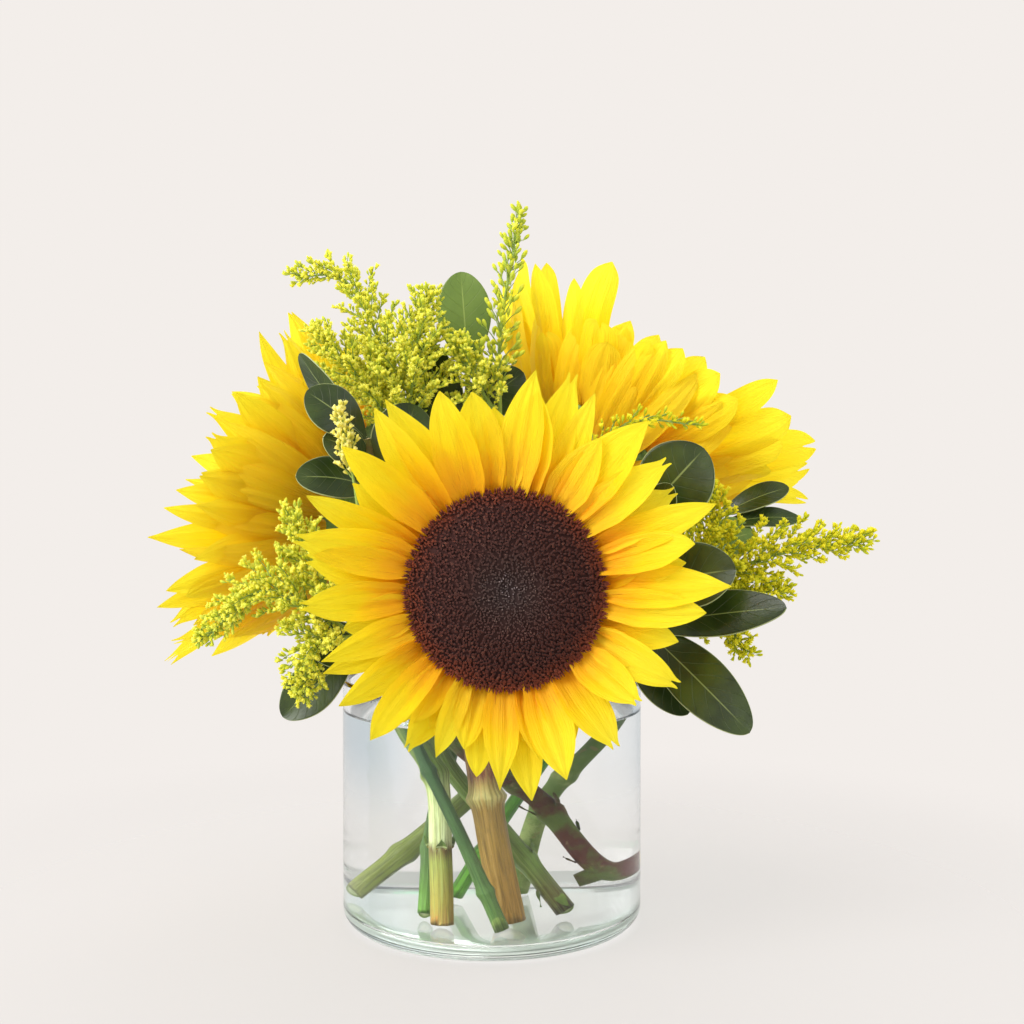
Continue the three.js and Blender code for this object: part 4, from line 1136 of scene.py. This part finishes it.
def add_plume(shape, plume, templates, bud_share):
    """A plume: its curved axis, side twigs that lean to its tip, and florets all along each twig."""
    reach, seed = plume["reach"], plume["seed"]
    bare = plume.get("bare", 0.12)
    rng = np.random.default_rng(seed)
    axis = smooth_path(plume["way"], PLUME_STEPS)
    tangents, _, _ = frames_along(axis)
    tube(shape, axis, np.linspace(0.9, 0.3, len(axis)), 8, tone=0.3, skin=1)
    twigs = round(TWIGS_PER_CLUB * plume["clubs"])
    places, directions, shares = [], [], []
    for i in range(twigs + 1):
        t = min(bare + (1 - bare) * (i + 0.5) / twigs, 1)
        at = min(int(t * PLUME_STEPS), PLUME_STEPS)
        along = tangents[at]
        turn = TWIG_TURN * i + seed
        side = unit(np.cross(along, vec(*ASKEW_TO_PATHS)))
        other = np.cross(along, side)
        outward = side * math.cos(turn) + other * math.sin(turn)
        out = unit(outward * (0.8 - 0.3 * t) + along * (0.6 + 0.3 * t))
        length = reach * (1.05 - 0.78 * t**1.4) * (0.9 + 0.24 * rng.random())
        if i == twigs:
            out, length = along, reach * 0.2
        droop = vec(0, 0, 1) * length * (0.1 + 0.08 * rng.random())

        def twig_point(s):
            return axis[at] + out * length * s + droop * math.sin(math.pi * s * 0.8)

        twig = np.array([twig_point(s) for s in np.linspace(0, 1, 9)])
        tube(shape, twig, np.linspace(0.3, 0.12, 9), 5, tone=0.3, skin=1)
        florets = max(4, round(length / plume.get("spacing", FLORET_SPACING)))
        for k in range(florets):
            s = 0.12 + 0.88 * (k + 0.8 * rng.random()) / florets
            swing = GOLDEN_ANGLE * k + WHOLE_TURN * rng.random()
            ray = side * math.cos(swing) + other * math.sin(swing)
            ray = unit(ray + along * 0.25 * rng.standard_normal())
            places.append(twig_point(s) + ray * CLUMP_RADIUS * math.sqrt(rng.random()) * (1 - 0.6 * t))
            directions.append(unit(ray * (1.0 - 0.45 * s) + out * (0.45 + 0.5 * s) + vec(0, 0, 0.45)))
            shares.append(s * t)
    places, directions, shares = np.array(places), np.array(directions), np.array(shares)
    count = len(places)
    closed = rng.random(count) < plume.get("buds", bud_share) + 0.35 * shares
    kinds = np.where(closed, 2, (rng.random(count) < 0.5).astype(int))
    sizes = (0.66 + 0.34 * rng.random(count)) * plume.get("grown", 1)
    sizes = np.repeat(sizes[:, None], 3, axis=1)
    turns = WHOLE_TURN * rng.random(count)
    tones = rng.random(count)
    skin = plume.get("skin", 0)
    for kind, template in enumerate(templates):
        own = kinds == kind
        if own.any():
            shape.add_copies(template, places[own], directions[own], sizes[own], turns[own], tones[own], skin)


def make_goldenrod(name, plume_skins, stem_skins, bud_share):
    shape = Shape()
    templates = (floret_template(6, 0.55), floret_template(5, 0.3), bud_template())
    for plume in GOLDENRODS[name]:
        add_plume(shape, plume, templates, bud_share)
    piece(f"{name}_plumes", shape, plume_skins, name)
    stem = Shape()
    add_stem(stem, name, nodes=(0.13, 0.52), slant=6)
    piece(f"{name}_stalk", stem, stem_skins, name)


# ---- Leafy branches ----
# Each twig's points, and each leaf's root on its twig, its tip, its width, and the way its upper face looks.
# olive is the number of the leaf that is paler than the others, and a stub is a short cut-off side shoot.
FACES_FRONT = (0, -1, 0.35)
BRANCHES = {
    "leafy_branch_left": {
        "twigs": [
            [(-34, -6, 118), (-42, -16, 112), (-47, -24, 102)],
            [(-25, 8, 90), (-19, 22, 130), (-13, 24, 170), (-9, 24, 202)],
            [(-25, 8, 90), (-28, 34, 112), (-26, 48, 128)],
        ],
        "leaves": [
            [(-44, -24, 176), (-64, -33, 192), 17, (-0.2, -1, 0.5)],
            [(-41.2, -19.8, 158), (-67.5, -34, 162.5), 18, (0, -1, 0.7)],
            [(-43, -22, 170), (-58, -34, 176), 13, (0.3, -1, 0)],
            [(-44, -24, 176), (-68, -22, 206), 11, (-0.8, -0.5, 0.3)],
            [(-47, -24, 102), (-73, -30, 79), 17, FACES_FRONT],
            [(-44, -20, 108), (-62, -30, 100), 18, FACES_FRONT],
            [(-9, 24, 202), (-12, 22, 242), 21, FACES_FRONT],
            [(-12, 24, 175), (-30, 34, 205), 19, (0.2, 0.6, 0.6)],
            [(-26.1, 47, 127), (-52, 72, 138), 22, (0, 0.8, 0.5)],
            [(-26, 47.6, 127.7), (-20, 84, 150), 23, (0, 0.7, 0.6)],
            [(-27, 40, 119), (-48, 68, 104), 22, (0, 0.8, 0.5)],
            [(-26.4, 45.6, 125.4), (-2, 80, 122), 22, (0, 0.8, 0.5)],
            [(-20, 20, 124), (-44, 44, 160), 20, (0.1, 0.8, 0.5)],
            [(-11.5, 24, 184), (12, 18, 203), 20, FACES_FRONT],
            [(-13.5, 24, 172), (-25, 10, 214), 20, (-0.3, -1, 0.5)],
            [(-40.5, -18.7, 153), (-28, -8, 189), 24, (0.3, -1, 0.2)],
        ],
        "olive": 6,
        "stubs": [((31, 8, 18), (22.5, 6.5, 14.6))],
    },
    "leafy_branch_right": {
        "twigs": [
            [(40, 8, 90), (58, 14, 112), (78, 8, 136), (88, 10, 150)],
            [(40, 8, 90), (46, 34, 112), (44, 50, 130)],
        ],
        "leaves": [
            [(50, -34, 146), (72, -43, 172), 27, FACES_FRONT],
            [(50, -31, 138), (60, -47, 160), 14, FACES_FRONT],
            [(50, -27, 124), (83, -42, 131), 23, FACES_FRONT],
            [(50.4, -16, 108), (99, -48, 118.5), 17, (-0.26, -0.9, 0.52)],
            [(50, -19, 112.5), (86, -52, 77), 20, (-0.19, -0.9, 0.4)],
            [(49, -13, 104.5), (68, -33, 80), 18, FACES_FRONT],
            [(86, 10, 148), (112, 8, 159), 11, (0, -1, 0.8)],
            [(84, 9, 144), (117, 8, 147), 9, (0, -1, 0.8)],
            [(78, 8, 136), (98, 4, 142), 16, FACES_FRONT],
            [(44.3, 47.5, 127), (76, 72, 142), 22, (0, 0.8, 0.5)],
            [(44, 49.5, 129.3), (40, 86, 146), 23, (0, 0.7, 0.6)],
            [(45.2, 41, 119.5), (72, 62, 104), 22, (0.2, 0.8, 0.5)],
            [(44.6, 45.5, 124.6), (22, 82, 116), 22, (0, 0.8, 0.4)],
        ],
        "olive": 8,
        "stubs": [],
    },
}


def leaf(shape, root, tip, width, faces, seed, skin):
    """An obovate leaf on a short stalk: arched, a little folded at its rib and waved at its edge."""
    rows, columns = LEAF_GRID
    start = vec(*root)
    reach = vec(*tip) - start
    length = np.linalg.norm(reach)
    out = reach / length
    up = unit(vec(*faces) - out * out.dot(vec(*faces)))
    side = np.cross(out, up)
    s = 1 - np.linspace(1, 0, rows)[:, None] ** 1.6  # closer towards the tip, which is round
    u = np.linspace(-1, 1, columns)[None]
    arch = (0.07 + 0.05 * spread(seed, 5)) * length * np.sin(math.pi * s)
    spine = start + out * length * s + up * arch
    outline = np.maximum(np.sin(math.pi * np.clip(s, 0, 1) ** 1.4), 0) ** (0.64 - 0.12 * s**4)
    half = np.maximum(width / 2 * outline, width * 0.028 * (1 - s**8))
    fold = 0.1 + 0.05 * spread(seed, 1)
    phase = 6 * draw(seed, 2)
    wave = 0.45 * u**2 * np.sin(9 * s + phase + 1.3 * u) * half / (width / 2)
    lift = half * fold * np.abs(u) ** 1.4 + wave
    add_sheet(shape, spine[:, None], side, up, u * half, lift, s, u, draw(seed, 3), skin)


def make_branch(name, wood_skins, leaf_skins):
    branch = BRANCHES[name]
    stem = Shape()
    add_stem(stem, name, nodes=(0.2, 0.27), ribs=3, rib_depth=0.05)
    for size, paths in ((TWIG, branch["twigs"]), (STUB, branch["stubs"])):
        for points in paths:
            path = smooth_path(points, size["steps"])
            tube(stem, path, np.linspace(size["root"], size["tip"], len(path)), size["sides"])
    piece(f"{name}_wood", stem, wood_skins, name)
    shape = Shape()
    for i, (root, tip, width, faces) in enumerate(branch["leaves"]):
        skin = 2 if i == branch["olive"] else 0
        leaf(shape, root, tip, width, faces, 300 + 20 * len(name) + i, skin)
    piece(f"{name}_leaves", shape, leaf_skins, name, subdivide=1, thick=LEAF_THICK)


# ---- Camera, floor and light ----
def make_camera():
    data = bpy.data.cameras.new("camera")
    data.sensor_width = SENSOR
    data.lens = SENSOR * CAMERA["focal"] / CAMERA["frame"]
    camera = new_object("camera", data)
    camera.location = [MM * x for x in CAMERA["place"]]
    camera.rotation_euler = [math.radians(90 - CAMERA["tilt_down"]), 0, -math.radians(CAMERA["turn_right"])]
    bpy.context.scene.camera = camera


def make_floor():
    """A pale round floor that fades into the backdrop's colour towards its edge."""
    rings = FLOOR["rings"]
    profile = [(TINY + FLOOR["radius"] * (i / rings) ** 2, -FLOOR["gap"]) for i in range(rings + 1)]
    shape = Shape()
    lathe(shape, profile, FLOOR["sides"])
    paint = Paint("studio_floor")
    away = paint.node("ShaderNodeVectorMath", {"operation": "LENGTH"}, {0: paint.place()}).outputs["Value"]
    fade = paint.share(away, 0.1, 0.34)
    under = paint.share(away, 0.056, 0.051)
    shaded = paint.shader(Base_Color=linear(FLOOR_PAINT), Roughness=0.9, Specular_IOR_Level=0.1)
    glow = paint.mix(under, linear(FLOOR_GLOW["open"]), linear(FLOOR_GLOW["under_vase"]))
    own_share = paint.math("MULTIPLY_ADD", under, -FLOOR["share"], FLOOR["share"])
    even = paint.node("ShaderNodeEmission", inputs={"Color": glow}).outputs[0]
    clear = paint.node("ShaderNodeBsdfTransparent").outputs[0]
    material = paint.finish(paint.blend(fade, paint.blend(own_share, even, shaded), clear))
    mesh_object("floor", shape, [material])


def make_lamp(name, place, size, power):
    """A square soft light that looks at the middle of the arrangement."""
    data = bpy.data.lights.new(name, "AREA")
    data.size = size
    data.energy = power
    lamp = new_object(name, data)
    lamp.location = place
    away = unit(vec(*place) - vec(*LAMP_TARGET))
    lamp.rotation_euler = [math.acos(away[2]), 0, math.atan2(away[1], away[0]) + math.pi / 2]


def make_world():
    """A pale studio all round, darker at both sides, so that the glass has soft dark edges."""
    paint = Paint("studio", world=True)
    direction = paint.node("ShaderNodeTexCoord").outputs["Generated"]
    parts = paint.node("ShaderNodeSeparateXYZ", inputs={0: direction})
    across = paint.node("ShaderNodeMapRange", inputs={0: parts.outputs[0], 1: -1}).outputs[0]
    rays = paint.node("ShaderNodeLightPath").outputs
    seen = paint.mix(rays["Is Camera Ray"], paint.ramp(across, WORLD_SIDES), linear(BACKDROP))
    strength = paint.node("ShaderNodeMapRange", inputs={0: rays["Is Diffuse Ray"], 3: 1, 4: ROOM_LIGHT})
    light = {"Color": seen, "Strength": strength.outputs[0]}
    bpy.context.scene.world = paint.finish(paint.node("ShaderNodeBackground", inputs=light).outputs[0])


# ---- The arrangement ----
bpy.context.scene.view_settings.view_transform = "Standard"
bpy.context.scene.view_settings.look = "None"

make_camera()
make_floor()
make_world()
for lamp_name, lamp in LAMPS.items():
    make_lamp(lamp_name, *lamp)

make_vase()
make_water()

petal_skin = petal_material("ray_petal", (254, 192, 22), (255, 221, 16), (255, 236, 44))
disc_skin = disc_material()
for bloom_name in SUNFLOWERS:
    make_petals(bloom_name, petal_skin)
    make_disc(bloom_name, disc_skin)

# Each stem's colours from its foot, 0, to its top, 1, its streaks' colour, and how strongly it is stained.
STEM_SKINS = {
    "head_back": ([(0, (128, 154, 64)), (1, (104, 138, 54))], (84, 120, 46), 0.25),
    "front_stem_skin": ([
        (0, (180, 132, 50)), (0.2, (166, 130, 48)), (0.29, (158, 126, 54)), (0.315, (204, 192, 118)),
        (0.345, (180, 152, 78)), (0.37, (128, 70, 40)), (0.55, (118, 66, 36)), (0.7, (112, 134, 56)),
    ], (206, 168, 88), 0.25),
    "left_stem_skin": ([
        (0, (198, 146, 74)), (0.05, (172, 154, 64)), (0.14, (150, 158, 70)), (0.165, (96, 62, 24)),
        (0.18, (212, 222, 166)), (0.29, (196, 210, 140)), (0.325, (112, 140, 60)), (0.7, (104, 144, 60)),
    ], (170, 180, 98), 0.25),
    "right_stem_skin": ([
        (0, (140, 150, 72)), (0.2, (118, 136, 58)), (0.75, (104, 138, 52)),
    ], (92, 98, 40), 0.5),
    "goldenrod_stalk": ([(0, (168, 192, 92)), (1, (160, 186, 86))], (140, 168, 68), 0.25),
    "goldenrod_left_skin": ([
        (0, (150, 172, 88)), (0.06, (98, 134, 62)), (0.3, (72, 106, 52)), (0.55, (64, 98, 56)),
        (1, (84, 124, 56)),
    ], (46, 88, 42), 0.15),
    "goldenrod_top_skin": ([
        (0, (84, 70, 28)), (0.05, (106, 98, 40)), (0.11, (122, 150, 62)), (0.4, (108, 134, 54)),
        (1, (96, 130, 48)),
    ], (158, 174, 92), 0.6),
    "goldenrod_right_skin": ([
        (0, (108, 170, 48)), (0.4, (92, 160, 38)), (1, (98, 154, 44)),
    ], (84, 142, 44), 0.1),
    "goldenrod_centre_skin": ([
        (0, (120, 174, 62)), (0.1, (78, 112, 44)), (1, (88, 130, 48)),
    ], (84, 120, 56), 0.2),
}
skins = {name: stem_material(name, *looks) for name, looks in STEM_SKINS.items()}
green_cut = pith_material("green_cut", (120, 140, 70), (196, 206, 150))
tan_cut = pith_material("tan_cut", (140, 112, 60), (214, 200, 150))
make_bloom_stem("front", skins["front_stem_skin"], tan_cut, skins["head_back"], nodes=(0.315,))
make_bloom_stem("left", skins["left_stem_skin"], tan_cut, skins["head_back"], nodes=(0.32,))
make_bloom_stem("right", skins["right_stem_skin"], green_cut, skins["head_back"], nodes=(0.12,))

# The florets' colours where they leave the stalk, in their green part, in their yellow part and at the tip.
pale_florets = goldenrod_material(
    "goldenrod_pale", (164, 192, 88), (198, 212, 80), (240, 234, 66), (252, 248, 110),
)
warm_florets = goldenrod_material(
    "goldenrod_warm", (156, 186, 56), (200, 208, 46), (242, 232, 34), (252, 244, 66),
)
cream_florets = goldenrod_material(
    "goldenrod_cream", (170, 190, 90), (224, 220, 100), (250, 240, 124), (254, 248, 168),
)
for goldenrod, florets, bud_share in (
    ("goldenrod_left", pale_florets, 0.12),
    ("goldenrod_top", pale_florets, 0.1),
    ("goldenrod_centre", pale_florets, 0.25),
    ("goldenrod_right", warm_florets, 0.1),
):
    plume_skins = [florets, skins["goldenrod_stalk"], cream_florets]
    make_goldenrod(goldenrod, plume_skins, [skins[f"{goldenrod}_skin"], green_cut], bud_share)

# Each leaf's last colour is the painted highlight along its edge.
leaf_top = leaf_material("leaf_top", (34, 48, 12), (54, 70, 20), (128, 140, 80), 0.32, (166, 174, 116))
leaf_back = leaf_material("leaf_back", (92, 112, 74), (104, 124, 82), (140, 154, 100), 0.5, (120, 138, 84))
olive_top = leaf_material(
    "olive_leaf_top", (88, 112, 40), (100, 124, 48), (140, 156, 80), 0.4, (130, 146, 80),
)
leaf_skins = [leaf_top, leaf_back, olive_top, leaf_back]
red_bark = bark_material("red_bark", (92, 32, 16), (80, 68, 26), (92, 108, 36))
moss_bark = bark_material("moss_bark", (110, 132, 58), (92, 112, 46), (150, 162, 92))
make_branch("leafy_branch_left", [red_bark, tan_cut], leaf_skins)
make_branch("leafy_branch_right", [moss_bark, tan_cut], leaf_skins)
